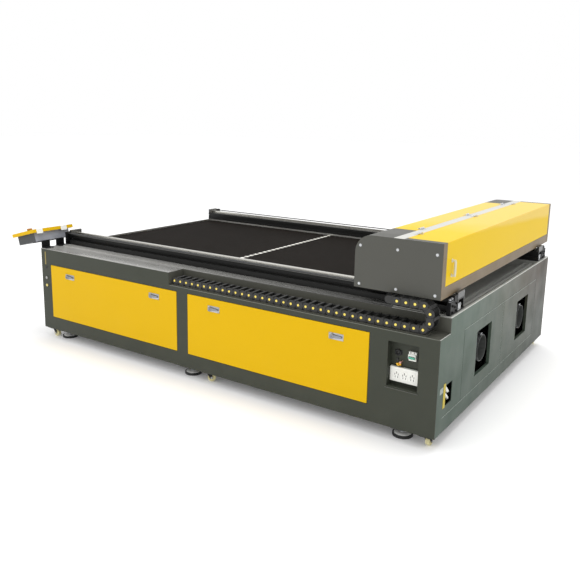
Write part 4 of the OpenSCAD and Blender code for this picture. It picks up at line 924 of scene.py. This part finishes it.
# %% [markdown]
# ## Casters and feet
# Six small twin-bearing casters let the machine be rolled, and six screwed feet then lift it
# off them. A caster's wheel is a bar with a narrower hub pushed in on both sides and a
# rounded tread; its fork is a top plate and two slanted legs, blocks whose corners are moved.

# %% One caster, and its five copies
CASTER_XS, CASTER_TURNS, CASTER_IN = (60, 1530, 2950), (0, 35, 90), 48
AXLE, WHEEL_R, TRAIL = 28, 25, 17
king = at(CASTER_XS[0], CASTER_IN, 0)


def from_king(x, y, z):
    return king + mm(x, y, z)


wheel = new_bar("wheel", from_king(TRAIL, -11, AXLE), WHEEL_R / 1000, 0.022, "y", 40)
for side in (-1, 1):
    inset(wheel, facing((0, side, 0)), 0.006)
    pick(wheel, middle((0, side, 0), from_king(TRAIL, 0, AXLE), 0.004))
    bpy.ops.mesh.extrude_region_move(TRANSFORM_OT_translate={"value": (0, -side * 0.003, 0)})
    bpy.ops.mesh.inset(thickness=0.009)
    bpy.ops.mesh.extrude_region_move(TRANSFORM_OT_translate={"value": (0, side * 0.004, 0)})
    rest()
rounded(wheel, 0.0022, 3, 40)
fork = [new_block("fork", from_king(-14, -16, 55), from_king(16, 16, 58))]
for y in (-14.5, 14.5):
    leg = new_block("leg", from_king(-14, y - 1.5, AXLE - 7), from_king(25, y + 1.5, 56.5))
    moved(leg, lambda co: co.z < 0.030 and co.x < king.x, (0.022, 0, 0))
    moved(leg, lambda co: co.z > 0.050 and co.x > king.x, (-0.008, 0, 0))
    fork.append(rounded(leg, 0.0025, 2, 60))
race = new_bar("race", from_king(0, 0, 56), 0.0185, 0.0095, "z", 36)
inset(race, TOP, 0.004)
moved(race, middle((0, 0, 1), king, 0.002), (0, 0, -0.002), "FACE")
fork = joined("fork", fork + [rounded(race, 0.0012, 2, 40)])
axle = joined("axle", [new_bar("rod", from_king(TRAIL, -18, AXLE), 0.0035, 0.036, "y", 20),
                       new_bar("nut", from_king(TRAIL, 16, AXLE), 0.0068, 0.004, "y", 6),
                       new_bar("head", from_king(TRAIL, -19.5, AXLE), 0.0068, 0.0035, "y", 6),
                       new_bar("king_pin", from_king(0, 0, 57), 0.0058, 0.0128, "z", 24)])
rounded(axle, 0.0004, 1, 50)
for i in range(6):
    body, y = f"caster_{i + 1}", CASTER_IN if i < 3 else cab_dep - CASTER_IN
    place = Matrix.Translation(at(CASTER_XS[i % 3], y, 0) - king)
    place = place @ turned(king, CASTER_TURNS[i % 3], "Z")
    tread = copied(wheel, f"caster_wheel_{i + 1}", place)
    dress(tread, wheel_plastic, body)
    dress(copied(fork, f"caster_fork_{i + 1}", place), black_paint, body)
    dress(copied(axle, f"caster_axle_{i + 1}", place), zinc_plate, body)
    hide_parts(body)
discard(wheel, fork, axle)
print("made:", len(made))

# %% [markdown]
# A foot is a steel disc in a thick rubber ring, a threaded stem, and a hexagon nut that locks
# it. The thread is one short tapered ring, copied up the stem: at this size rings read as a
# thread, and a true helix would cost a hundred times the faces.

# %% One foot, and its five copies
FOOT_IN, THREAD_TURNS, THREAD_PITCH = 95, 22, 2.1
foot_at = [(x, y) for x in (160, 1361, cab_len - 205) for y in (FOOT_IN, cab_dep - FOOT_IN)]
sole = at(*foot_at[0], 0)


def on_foot(name, z, r, tall, sides, r2=None):
    """A bar that stands on the foot's axis, z metres above the floor."""
    return new_bar(name, sole + Vector((0, 0, z)), r, tall, "z", sides, r2)


pad = on_foot("pad", 0, 0.054, 0.016, 56)
inset(pad, TOP, 0.0075)
extrude(pad, middle((0, 0, 1), sole, 0.01), (0, 0, -0.005))
rounded(pad, 0.002, 3, 40)
disc = on_foot("disc", 0.013, 0.0458, 0.0045, 56)
inset(disc, TOP, 0.020, 0.003)
rounded(disc, 0.0012, 2, 30)
boss = on_foot("boss", 0.015, 0.017, 0.009, 36, 0.013)
stem = on_foot("stem", 0.018, 0.0079, 0.051, 24)
thread = on_foot("thread", 0.0215, 0.0086, 0.0019, 20, 0.0072)
threads = [copied(thread, "thread", shifted(0, 0, k * THREAD_PITCH))
           for k in range(1, THREAD_TURNS)]
nut = rounded(on_foot("nut", 0.043, 0.0145, 0.0095, 6), 0.001, 2, 30)
stem = joined("stem", [stem, boss, nut, thread] + threads)
for k, (x, y) in enumerate(foot_at):
    place = Matrix.Translation(at(x, y, 0) - sole)
    ring = dress(copied(pad, f"foot_pad_{k + 1}", place), black_rubber)
    dress(copied(stem, f"foot_stem_{k + 1}", place), zinc_plate)
    # The dish's near white is a painted reflection of the floor.
    dress(copied(disc, f"foot_dish_{k + 1}", place), dish_painted_reflection)
    if k == 0:
        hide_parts("levelling_feet")
discard(pad, stem, disc)
print("made:", len(made))

# %% [markdown]
# ## Rail ends and belt tensioners
# The steel blocks at the rail ends are where a fitter spends the time: clamp plates, cap
# screws, adjusting bolts with lock nuts. All are small repeats of three shapes, so a screw,
# a hexagon nut and a plate are each made by one helper.

# %% Clamps, bolts and end caps of the rails
RAIL_YS, RAIL_W, RAIL_SCREWS, RAIL_STEP = (240, 1810), 100, 30, 99
END_BOLTS = (("right", 2974, 2984, 0.006, 0.005, 1,
              ((14, 668), (14, 705), (66, 668), (66, 700), (34, 690))),
             ("left", 26, 16, 0.005, 0.004, -1, ((10, 668), (30, 668), (10, 715))))
END_CAPS = ((2985, 2988.5, 2988.5, 1), (11.5, 15, 11.5, -1))


def hex_nut(place, across, tall, axis):
    nut = new_bar("nut", place, across / 2 / math.cos(math.pi / 6), tall, axis, 6)
    out = AXIS_WAY[axis]
    inset(nut, facing(out), across * 0.22)
    moved(nut, middle(out, place, across * 0.2), -out * tall * 0.3, "FACE")
    return rounded(nut, across * 0.04, 1, 30)


def plate_piece(name, lo, hi, edge=0.0012, segments=2):
    return rounded(new_block(name, lo, hi), edge, segments)


for i, (y, side) in enumerate(((RAIL_YS[0], -1), (RAIL_YS[1] + RAIL_W, 1))):
    nuts = []
    for k in (50, 80):
        spot = y + side * k
        nuts += [new_bar("washer", at(2974, spot, 717.7), 0.0085, 0.0015, "z", 24),
                 hex_nut(at(2974, spot, 719.2), 0.013, 0.006, "z"),
                 new_bar("stud", at(2974, spot, 725), 0.004, 0.014, "z", 16),
                 hex_nut(at(2974, spot, 731), 0.013, 0.005, "z")]
    dress(joined(f"tensioner_nuts_{i + 1}", nuts), zinc_plate)
    for end, top_x, out_x, r, tall, way, sites in END_BOLTS:
        bolts = [socket_screw(at(out_x, y + side * k, z), r, tall, "x", way) for k, z in sites]
        bolts += [socket_screw(at(top_x, y + side * k, 742.7), 0.0045, 0.004, "z") for k in (9, 31)]
        dress(joined(f"tensioner_bolts_{end}_{i + 1}", bolts), black_oxide)
caps, rail_screws = [], []
for y in RAIL_YS:
    for x0, x1, outer, way in END_CAPS:
        caps.append(plate_piece("cap", at(x0, y + 3, 663), at(x1, y + 42, 700), 0.0015))
        for k, z in ((12, 672), (33, 691)):
            caps.append(socket_screw(at(outer, y + k, z), 0.0042, 0.0026, "x", way))
    for k in range(RAIL_SCREWS):
        place = at(60 + k * RAIL_STEP, y + RAIL_W / 2, 737.4)
        screw = new_bar("rail_screw", place, 0.0042, 0.0007, "z", 14)
        inset(screw, TOP, 0.0016, -0.0004)
        rail_screws.append(screw)
dress(joined("rail_end_caps", caps), zinc_plate)
dress(joined("guide_rail_screws", rail_screws), black_oxide)
print("made:", len(made))

# %% [markdown]
# ## Gantry housing
# The end plates are held by screws with painted washers, and the right lid has an ivory bow
# handle. The handle is a bar bent by spinning its end face a quarter turn at both corners.

# %% Washers and the lid's handle
GANTRY_CORNER, WASHER_T = (2494, 67, 747), 1.1
GRIP_U, GRIP_V, GRIP_WS = 469, 118, (103.5, 177.5)


def gantry(u, v, w):
    """A place measured from the gantry's own lower corner."""
    return at(GANTRY_CORNER[0] + u, GANTRY_CORNER[1] + v, GANTRY_CORNER[2] + w)


washers = [rounded(new_bar("washer", gantry(u, v, w), 0.0105, WASHER_T / 1000, "y", 32), 0.0004, 1)
           for u in (30, 234.5, 439) for w in (20, 219) for v in (-WASHER_T, 2062)]
painted_washer = powder_coat("painted_washer", rgb(98, 99, 95), 0.4, dust=0)
dress(joined("end_plate_washers", washers), painted_washer, "gantry")


def bow_handle(name, foot_a, foot_b, out, r, bend):
    """A disc is pulled out of one foot, spun round two corners, and closed at the other foot."""
    span, out_way = (foot_b - foot_a).length, out.normalized()
    way, shank = (foot_b - foot_a).normalized(), out - out_way * bend
    start = foot_a + shank
    quarter = {"steps": 8, "angle": math.radians(90), "axis": -out_way.cross(way)}
    rest()
    bpy.ops.mesh.primitive_circle_add(vertices=20, radius=r, fill_type="NGON", location=foot_a,
                                      rotation=out.to_track_quat("Z", "Y").to_euler())
    bow = settled(name)
    pick(bow, everything)
    bpy.ops.mesh.extrude_region_move(TRANSFORM_OT_translate={"value": shank})
    bpy.ops.mesh.spin(center=start + way * bend, **quarter)
    bpy.ops.mesh.extrude_region_move(TRANSFORM_OT_translate={"value": way * (span - 2 * bend)})
    bpy.ops.mesh.spin(center=start + way * (span - bend), **quarter)
    bpy.ops.mesh.extrude_region_move(TRANSFORM_OT_translate={"value": -shank})
    bpy.ops.mesh.select_all(action="SELECT")
    bpy.ops.mesh.remove_doubles(threshold=0.00001)
    bpy.ops.mesh.normals_make_consistent(inside=False)
    rest()
    return bow


grip_feet = [gantry(GRIP_U, GRIP_V, w) for w in GRIP_WS]
bow = bow_handle("lid_handle", *grip_feet, Vector((0.0175, 0, 0)), 0.0062, 0.009)
feet = [rounded(new_bar("foot", place, 0.0095, 0.002, "x", 28), 0.0006, 2) for place in grip_feet]
handle_plastic = plastic("handle_plastic", IVORY, 0.34)
handle = dress(joined("lid_handle", [bow] + feet), handle_plastic, "right_lid")
reach = max(v.co.x for v in handle.data.vertices) - grip_feet[0].x
print("handle reaches out:", round(reach * 1000, 1), "mm")

# %% [markdown]
# ## Door latches
# Each door has two quarter-turn latches in bright cups. A cup is a plate with round corners
# and an inset border on its face. The lever is a block whose far end is narrowed and lowered,
# with a thumb dimple pressed into it, on a round hub with a keyhole.

# %% One latch, and its three copies
LATCH_XS = (286, 1098, 1586, 2415)
hub = at(LATCH_XS[0], 0, 482)


def from_hub(x, y, z):
    return hub + mm(x, y, z)


cup_steel = metal("cup_steel", rgb(192, 193, 196), 0.25, along=(10, 10, 10))
lever_zinc = metal("lever_zinc", rgb(140, 143, 150), 0.28, along=(5, 5, 5), cloud_scale=30)
cup = plate_piece("cup", from_hub(-21, -2.9, -18), from_hub(67, -1, 18), 0.008, 5)
inset(cup, FRONT, 0.0035)
lever = new_block("lever", from_hub(2, -13.6, -9), from_hub(60, -6, 9))
pick(lever, lambda co: co.x > hub.x + 0.05, "VERT")
bpy.ops.transform.resize(value=(1, 1, 0.62), center_override=hub)
rest()
moved(lever, lambda co: co.x > hub.x + 0.05 and co.y < hub.y - 0.01, (0, 0.002, 0))
inset(lever, FRONT, 0.003, -0.001)
rounded(lever, 0.0016, 3)
knob = new_bar("knob", from_hub(0, -13.8, 0), 0.0135, 0.0118, "y", 40)
inset(knob, FRONT, 0.0045)
inset(knob, middle((0, -1, 0), hub, 0.002), 0.003, -0.001)
rounded(knob, 0.0012, 2, 40)
stem = new_bar("stem", from_hub(0, -3, 0), 0.0078, 0.0285, "y", 28)
cam = plate_piece("cam", from_hub(-9, 22, -9), from_hub(72, 25, 9))
cam_nut = hex_nut(from_hub(0, 25, 0), 0.014, 0.0045, "y")
lever = joined("lever", [lever, knob, stem, cam, cam_nut])
slot = plate_piece("key_slot", from_hub(-1, -13.6, -3.5), from_hub(1, -12.2, 3.5), 0.0002, 1)
for i, x in enumerate(LATCH_XS):
    place, body = shifted(x - LATCH_XS[0], 0, 0), f"latch_{i + 1}"
    door = "left_door" if i < 2 else "right_door"
    dress(copied(cup, f"latch_cup_{i + 1}", place), cup_steel, door)
    arm = dress(copied(lever, f"latch_lever_{i + 1}", place), lever_zinc, body)
    dress(copied(slot, f"latch_key_slot_{i + 1}", place), black_plastic, body)
    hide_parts(body)
discard(cup, lever, slot)
print("made:", len(made))

# %% [markdown]
# ## Power recess
# In the recess sit a white plate with three outlets, a breaker with a green lever, a round
# socket and a brass valve. The outlet plate is a block with a broad bevelled rim; each outlet
# is a square field set in by an inset, with dark slots that lie a hair proud of it.

# %% Outlets and breaker
RECESS_X, RECESS_Z, RECESS_BACK = 2733, 287, 48
OUTLET_X, OUTLET_Z, OUTLET_FACE, OUTLET_PITCH = 82, 58, 19.4, 42
BREAKER_X, BREAKER_Z = RECESS_X + 97, RECESS_Z + 142
OUTLET_SLOTS = ((0, 9, 3.2, 11), (-9, 0.5, 3.2, 10), (9, 0.5, 3.2, 10), (-7, -13, 3.0, 10),
                (7, -13, 3.0, 10))


def recess(x, out, z):
    """A place in the recess: x and z from its lower corner, and out from its back."""
    return at(RECESS_X + x, RECESS_BACK - out, RECESS_Z + z)


def breaker_block(x0, x1, z0, z1, front=22, behind=13.9):
    return new_block("breaker", at(BREAKER_X + x0, RECESS_BACK - front, BREAKER_Z + z0),
                     at(BREAKER_X + x1, RECESS_BACK - behind, BREAKER_Z + z1))


plate = plate_piece("outlet_plate", recess(2.2, OUTLET_FACE, 19.6), recess(161.8, 0.1, 96.4),
                    0.004, 3)
centre_x = recess(OUTLET_X, 0, 0).x
inset(plate, lambda c, n: n.y < -0.9 and abs(c.x - centre_x) < 0.01, 0.006, -0.0012)
fields, dark_slots = [plate], []
for x in (OUTLET_X - OUTLET_PITCH, OUTLET_X, OUTLET_X + OUTLET_PITCH):
    field = new_block("field", recess(x - 18, OUTLET_FACE + 0.2, OUTLET_Z - 24),
                      recess(x + 18, OUTLET_FACE - 4, OUTLET_Z + 24))
    inset(field, FRONT, 0.0022, -0.0008)
    fields.append(rounded(field, 0.0008, 2))
    for dx, dz, w, h in OUTLET_SLOTS:
        lo = recess(x + dx - w / 2, OUTLET_FACE - 0.1, OUTLET_Z + dz - h / 2)
        hi = recess(x + dx + w / 2, OUTLET_FACE - 2, OUTLET_Z + dz + h / 2)
        dark_slots.append(plate_piece("slot", lo, hi, 0.0004, 1))
outlet = dress(joined("outlet_plate", fields), white_plastic)
dress(joined("outlet_slots", dark_slots), black_plastic)
body = rounded(breaker_block(0, 40, 0, 46, 14, 0.1), 0.0012)
noses = [rounded(breaker_block(*sides), 0.0008)
         for sides in ((3, 37, 25.2, 34), (0, 3.2, 12, 34), (36.8, 40, 12, 34))]
breaker = joined("breaker", [body] + noses)
shoulder_z = at(0, 0, BREAKER_Z + 34).z
inset(breaker, lambda c, n: n.y < -0.9 and c.z > shoulder_z, 0.0015, -0.0005)
dress(breaker, white_plastic)
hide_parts("outlets_and_breaker")
terminals = [socket_screw(at(BREAKER_X + x, RECESS_BACK - 14, BREAKER_Z + 41), 0.003, 0.0008,
                          "y", -1) for x in (11, 29)]
dress(joined("breaker_terminals", terminals), black_oxide)
print("made:", len(made))

# %% [markdown]
# The socket is a ring on a flange, hollowed by pushing its middle in, with five thin pins and
# a lock nut below. The valve shows a round pink button and a knurled brass ring.

# %% Socket and valve
SOCKET_X, SOCKET_Z, PIN_CIRCLE = 38, 168, 6.4
valve_pink = plastic("valve_pink", rgb(206, 150, 138), 0.32)
socket_black = plastic("socket_black", rgb(10, 10, 10), 0.5)
ring = new_bar("socket_ring", recess(SOCKET_X, 10.4, SOCKET_Z), 0.0158, 0.0104, "y", 48)
inset(ring, FRONT, 0.0035)
extrude(ring, middle((0, -1, 0), recess(SOCKET_X, 0, SOCKET_Z), 0.004), (0, 0.008, 0))
rounded(ring, 0.0007, 2, 40)
pins = []
for a in (0.5, 1.8, 3.1, 4.4, 5.6):
    x, z = SOCKET_X + PIN_CIRCLE * math.cos(a), SOCKET_Z + PIN_CIRCLE * math.sin(a)
    pins.append(new_bar("pin", recess(x, 7.5, z), 0.0014, 0.006, "y", 12))
flange = plate_piece("flange", recess(18, 1.8, 155), recess(58, 0.1, 181), 0.0006)
nut = hex_nut(recess(34, 3.2, 133), 0.0105, 0.0031, "y")
dress(joined("socket_ring", [ring, flange, nut]), socket_black)
dress(joined("socket_pins", pins), black_oxide)
button = new_bar("valve_button", recess(61, 31, 127), 0.0052, 0.0045, "y", 24)
stalk = new_bar("stalk", recess(61, 27, 127), 0.0022, 0.027, "y", 16)
button = joined("valve_button", [rounded(button, 0.001, 2, 40), stalk])
dress(button, valve_pink)
knurl = new_bar("valve_ring", recess(50, 24, 114), 0.0082, 0.006, "y", 18)
dress(rounded(knurl, 0.0006, 1, 10), brass)
print("made:", len(made))

# %% [markdown]
# Under the recess lies a folded steel lip that catches the light. Similar lips run along the
# front panel's upper edge, along the upper edge of the right end, and as thin seams round its
# service panels. Such a fold is a long block, bevelled until its edge is round. Its colour is
# the coat painted much lighter: a painted highlight of the light that the fold catches.

# %% Light lips and seams
END_LIP_TOP, FRONT_LIP_TOP, LEDGE_DEPTH = 656.6, 575.2, 131
PANEL_LOW, PANEL_TOP, SEAM_T, SEAM_XS = 150.4, 541, 1.6, (2999.2, 3000.35)
PANEL_YS = ((341, 1012), (1015, 1737))
# These coats are painted highlights: each edge is painted much lighter than its sheet.
painted_highlight_coat = powder_coat("painted_highlight_coat", rgb(182, 184, 178), 0.3, dust=0)
seam_highlight_coat = powder_coat("seam_highlight_coat", rgb(165, 172, 165), 0.35, dust=0)
front_edge_highlight_coat = powder_coat("front_edge_highlight_coat", rgb(108, 111, 103), 0.35, dust=0)
recess_lip_highlight = powder_coat("recess_lip_highlight_coat", rgb(86, 87, 81), 0.4, dust=0)


def seam(y0, y1, z0, z1):
    return plate_piece("seam", at(SEAM_XS[0], y0, z0), at(SEAM_XS[1], y1, z1), 0.0004, 1)


lip = plate_piece("recess_lip", at(RECESS_X - 6.3, -4.3, RECESS_Z - 10.3),
                  at(RECESS_X + 170.3, 0, RECESS_Z - 6.7), 0.001)
dress(lip, recess_lip_highlight)
front_lip = plate_piece("front_edge_lip", at(1262, -0.7, FRONT_LIP_TOP - 2.6),
                        at(2999.4, 1, FRONT_LIP_TOP), 0.0008)
dress(front_lip, front_edge_highlight_coat)
top_lip = plate_piece("lip", at(2993.5, LEDGE_DEPTH, END_LIP_TOP - 4),
                      at(3000.6, cab_dep, END_LIP_TOP), 0.0012, 3)
ledge_lip = plate_piece("ledge_lip", at(2997, 0.2, 573), at(3000.6, LEDGE_DEPTH, 575.4), 0.0009)
dress(joined("right_end_lip", [top_lip, ledge_lip]), painted_highlight_coat)
seams = [seam(84, 338, PANEL_LOW, PANEL_LOW + SEAM_T)]
seams += [seam(y0, y1, z, z + SEAM_T) for y0, y1 in PANEL_YS for z in (PANEL_TOP, PANEL_LOW)]
seams.append(seam(1011, 1012.4, PANEL_LOW + SEAM_T, PANEL_TOP))
dress(joined("service_panel_seams", seams), seam_highlight_coat)
print("made:", len(made))

# %% [markdown]
# ## Hose opening
# Two white hose tails come out behind the opening, next to two blank tags. Each tail gets a
# ribbed cuff: a row of short cones along the hose, wide end to wide end and narrow to narrow.

# %% Cuffs of the hose tails
CUFF_RINGS, CUFF_START, RING_LEN, CUFF_RADII = 18, 0.014, 0.0042, (0.0086, 0.0094)
TAIL_LEAN = math.radians(130)
tail_way = Vector((0, math.sin(TAIL_LEAN), math.cos(TAIL_LEAN)))
tail_turn = tail_way.to_track_quat("Z", "Y").to_euler()
cuffs = []
for z in (309, 273):
    for k in range(CUFF_RINGS):
        rest()
        near, far = CUFF_RADII[k % 2], CUFF_RADII[1 - k % 2]
        place = at(2979, 127, z) + tail_way * (CUFF_START + k * RING_LEN)
        bpy.ops.mesh.primitive_cone_add(vertices=28, radius1=near, radius2=far, depth=RING_LEN,
                                        location=place, rotation=tail_turn)
        cuffs.append(settled("cuff"))
dress(joined("hose_tail_cuffs", cuffs), white_plastic)
print("made:", len(made))

# %% [markdown]
# ## Console
# The console's lid carries a dark plate with a screen and a field of keys. The plate is a
# bevelled block, the screen is glass over a faint blue glow, and one rounded key is copied in
# rows. No key is labelled. Everything is modelled level, then tilted as one.

# %% Screen and keys
PANEL_X, PANEL_Y, LID_TOP = -177.5, 70, 88
STOP_X, STOP_Y = -102.5, 38
to_pivot = Matrix.Translation(-CONSOLE_PIVOT)
tilt = Matrix.Translation(CONSOLE_PIVOT) @ Matrix.Rotation(-CONSOLE_SLOPE, 4, "Y") @ to_pivot


def con(x, y, z):
    """A place on the console before it is tilted."""
    return CONSOLE_PIVOT + mm(x, y, z)


def panel_block(name, x0, y0, x1, y1, z0, z1):
    return new_block(name, con(PANEL_X + x0, PANEL_Y + y0, z0), con(PANEL_X + x1, PANEL_Y + y1, z1))


def tilted(obj):
    obj.data.transform(tilt)
    return obj


def screen_finish():
    s = Shader("screen_glass")
    lines = s.bands("Y", 120.0) * 0.3
    return s.set(colour=s.mix(lines, rgb(14, 22, 34), rgb(40, 60, 84)), coat=1.0, coat_rough=0.02,
                 rough=s.noise(20, 3) * 0.06 + 0.04, glow_power=0.25,
                 glow=s.mix(lines, rgb(36, 72, 120), rgb(120, 160, 205)))


body = panel_block("panel_body", 0, 0, 150, 205, 68, LID_TOP - 3)
inset(body, TOP, 0.006, -0.0008)
body = dress(tilted(rounded(body, 0.0015, 2)), panel_film)
bezel = panel_block("screen_bezel", 26, 10, 142, 112, 84, LID_TOP - 1.4)
inset(bezel, TOP, 0.004, -0.0012)
dress(tilted(rounded(bezel, 0.0008, 2)), black_plastic)
screen = panel_block("screen", 31, 15, 137, 107, 85, LID_TOP - 2)
dress(tilted(rounded(screen, 0.0004, 1)), screen_finish())
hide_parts("control_panel")
key = panel_block("key", 30, 122, 48, 140, 84, LID_TOP - 0.6)
inset(key, TOP, 0.0025, -0.0004)
rounded(key, 0.0018, 3)
keys = [copied(key, "key", shifted(i * 28, j * 26, 0)) for i in range(4) for j in range(3)]
discard(key)
dress(tilted(joined("panel_keys", keys)), grey_plastic)
print("made:", len(made))

# %% [markdown]
# The stop button is a mushroom cap on a stem, in a flat ring. The ring is a thin disc whose
# middle is inset and cut away, so that the stem can pass. The cap rides on the button's body.

# %% Stop button, tags and the post's strip
stop = con(STOP_X, STOP_Y, LID_TOP)
ring = new_bar("stop_ring", stop, 0.0235, 0.0008, "z", 48)
inset(ring, TOP, 0.010)
cut_away(ring, middle((0, 0, 1), stop, 0.006))
dress(tilted(rounded(ring, 0.0002, 1, 40)), black_plastic)
knob = new_bar("stop_button", con(STOP_X, STOP_Y, LID_TOP + 6), 0.0192, 0.0112, "z", 56, 0.0185)
inset(knob, TOP, 0.004, 0.0014)
inset(knob, middle((0, 0, 1), stop, 0.006), 0.006, -0.001)
stem = new_bar("stem", con(STOP_X, STOP_Y, LID_TOP - 16), 0.011, 0.023, "z", 36)
knob = joined("stop_button", [rounded(knob, 0.002, 3, 30), stem])
dress(tilted(knob), ochre_plastic, "estop_button")
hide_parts("estop_button")
tags = [plate_piece("tag", con(25, y, 54), con(25.8, y + 52, 87.5), 0.0003, 1) for y in (4, 212)]
dress(tilted(joined("console_tags", tags)), white_plastic)
strip = plate_piece("post_strip", at(39, -1, 540), at(50, 0, 632), 0.0003, 1)
dress(strip, plastic("post_tag", rgb(138, 122, 62), 0.4))
print("made:", len(made))

# %% [markdown]
# ## Inside the gantry
# With the lids open one sees the laser tube: a glass jacket round a thin bore, an electrode at
# each end, and brass mirror mounts. The light leaves it to two gold-faced mirrors, each in a
# ring with three knurled knobs. A mirror is modelled once, facing along Y, then turned.

# %% Tube and mirrors
tube_lo, tube_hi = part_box("laser_tube")
tube_x, tube_z = (tube_lo.x + tube_hi.x) / 2, (tube_lo.z + tube_hi.z) / 2
bore_glass = plastic("tube_bore", rgb(176, 186, 196), 0.12, texture=0.02, coat=0.6)


def on_tube(y, z=0.0):
    return Vector((tube_x, y, tube_z + z))


bore = new_bar("bore", on_tube(tube_lo.y + 0.055), 0.0085, tube_hi.y - tube_lo.y - 0.12, "y", 28)
dress(rounded(bore, 0.002), bore_glass, "gantry")
ends, collars = [], []
for y, way, cup_at, collar_at, r in ((tube_lo.y, 1, 0.074, 0.006, 0.0205),
                                     (tube_hi.y, -1, -0.148, -0.024, 0.0265)):
    cup = new_bar("electrode", on_tube(y + cup_at), 0.019, 0.05, "y", 36)
    for side in (1, -1):
        inset(cup, facing((0, side, 0)), 0.004, -0.003)
    ends.append(rounded(cup, 0.001, 2, 40))
    collar = new_bar("collar", on_tube(y + collar_at), r, 0.018, "y", 32)
    inset(collar, facing((0, -way, 0)), 0.004, 0.002)
    collars += [rounded(collar, 0.0012, 2, 40),
                socket_screw(on_tube(y + way * 0.015, r), 0.0028, 0.0018, "z")]
dress(joined("tube_electrodes", ends), ground_steel, "gantry")
dress(joined("tube_collars", collars), brass, "gantry")
KNOB_CIRCLE = 17
ring = new_bar("ring", Vector((0, -0.005, 0)), 0.019, 0.005, "y", 40)
inset(ring, FRONT, 0.006)
inset(ring, middle((0, -1, 0), Vector((0, 0, 0)), 0.006), 0.0004, -0.0012)
knobs = []
for a in (0.8, 2.4, 4.7):
    place = mm(KNOB_CIRCLE * math.cos(a), 12, KNOB_CIRCLE * math.sin(a))
    knobs.append(rounded(new_bar("knob", place, 0.0055, 0.014, "y", 18, 0.005), 0.0006, 1, 10))
ring = joined("mirror_ring", [rounded(ring, 0.0008, 2, 40)] + knobs)
disc = new_bar("mirror", Vector((0, -0.0046, 0)), 0.0125, 0.002, "y", 40)
gold = metal("gold_mirror", rgb(236, 190, 92), 0.04, along=(10, 10, 10), bright=0.02, line=0.02)
for i, (u, turn) in enumerate(((360.5, 225), (100, 135))):
    place = Matrix.Translation(gantry(u, 95, 188)) @ Matrix.Rotation(math.radians(turn), 4, "Z")
    dress(copied(ring, f"mirror_ring_{i + 1}", place), black_oxide, "gantry")
    dress(copied(disc, f"mirror_{i + 1}", place), gold, "gantry")
discard(ring, disc)
print("made:", len(made))

# %% [markdown]
# Each hinge leaf has two small screws at every station: one pair holds it to the fixed strip,
# and the other pair rides on its lid. The lens tube has a focus ring and a thin air nipple
# with a barb.

# %% Hinge screws and the lens tube's fittings
HINGE_TOP, STRIP_REACH, LID_REACH = 277, 13, 14
for name, side, hinge_u, stations in (("left_lid", -1, 206.5, (348, 1053, 1758)),
                                      ("right_lid", 1, 262.5, (196, 1035.5, 1835))):
    for suffix, reach, spread, body in (("_fixed", -STRIP_REACH, 20, "gantry"),
                                        ("", LID_REACH, 5, name)):
        u = hinge_u + side * reach
        screws = [socket_screw(gantry(u, v + k, HINGE_TOP), 0.003, 0.0009, "z")
                  for v in stations for k in (-spread, spread)]
        dress(joined(f"{name}_hinge_screws{suffix}", screws), zinc_plate, body)
lens_lo, lens_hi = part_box("lens_tube")
lens_x, lens_y = (lens_lo.x + lens_hi.x) / 2, (lens_lo.y + lens_hi.y) / 2
lens_r = (lens_hi.x - lens_lo.x) / 2


def on_lens(z, y=0.0):
    return Vector((lens_x, lens_y + y, lens_lo.z + z))


grip = rounded(new_bar("focus_ring", on_lens(0.056), lens_r + 0.0018, 0.009, "z", 40), 0.0006, 1, 5)
nipple = new_bar("air_nipple", on_lens(0.035), 0.003, 0.024, "y", 20)
barb = new_bar("barb", on_lens(0.035, 0.019), 0.0042, 0.006, "y", 20, 0.003)
dress(joined("lens_tube_fittings", [grip, nipple, barb]), brass, "lens_tube")
print("made:", len(made))

# %% [markdown]
# ## Blowers, motor and rear panels
# A worm-drive clamp holds the exhaust hose on each duct: a thin band with a small screw
# housing. The motor has a round end cap and four screws. The two lift-off panels at the back
# are as wide as the doors at the front, and are held by screws in their corners.

# %% Clamps, end cap and panel screws
CLAMP_YS, CLAMP_R, CLAMP_W, BOLT_STEP = (672, 1436), 0.0765, 0.012, 0.021
for i, y in enumerate(CLAMP_YS):
    centre = at(2972, y, 350)
    band = new_bar("band", centre, CLAMP_R, CLAMP_W, "x", 72)
    inset(band, facing((1, 0, 0)), 0.0014)
    for way in (1, -1):
        cut_away(band, middle((way, 0, 0), centre, 0.01))
    housing = plate_piece("housing", at(2972.5, y - 12, 426), at(2983.5, y + 12, 433), 0.0015)
    screw = socket_screw(at(2978, y + 12, 430), 0.0042, 0.008, "y")
    dress(joined(f"hose_clamp_{i + 1}", [band, housing, screw]), zinc_plate)
motor_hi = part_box("drive_motor")[1]
shaft_x, shaft_z = motor_hi.x - 0.027, motor_hi.z - 0.03
cap = new_bar("motor_cap", Vector((shaft_x, motor_hi.y - 0.001, shaft_z)), 0.022, 0.004, "y", 40)
inset(cap, facing((0, 1, 0)), 0.005, -0.0012)
screws = [socket_screw(Vector((shaft_x + a, motor_hi.y, shaft_z + b)), 0.0032, 0.003, "y")
          for a in (-BOLT_STEP, BOLT_STEP) for b in (-BOLT_STEP, BOLT_STEP)]
cap = joined("motor_end_cap", [rounded(cap, 0.0008, 2, 40)] + screws)
dress(cap, black_oxide, "gantry")
rear_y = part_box("rear_and_left_panels")[1].y
screws = []
for name in ("left_door", "right_door"):
    door_lo, door_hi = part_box(name)
    corners = [(x, z) for x in (door_lo.x + 0.02, door_hi.x - 0.02)
               for z in (door_lo.z + 0.024, PANEL_TOP / 1000 - 0.02)]
    screws += [socket_screw(Vector((x, rear_y, z)), 0.0052, 0.003, "y") for x, z in corners]
dress(joined("rear_panel_screws", screws), zinc_plate)
print("made:", len(made))

# %% [markdown]
# Last, the view layer is brought up to date. The second may not be larger than the first,
# because dressing never changes the machine's size.

# %% Bring the scene up to date
bpy.context.view_layer.update()
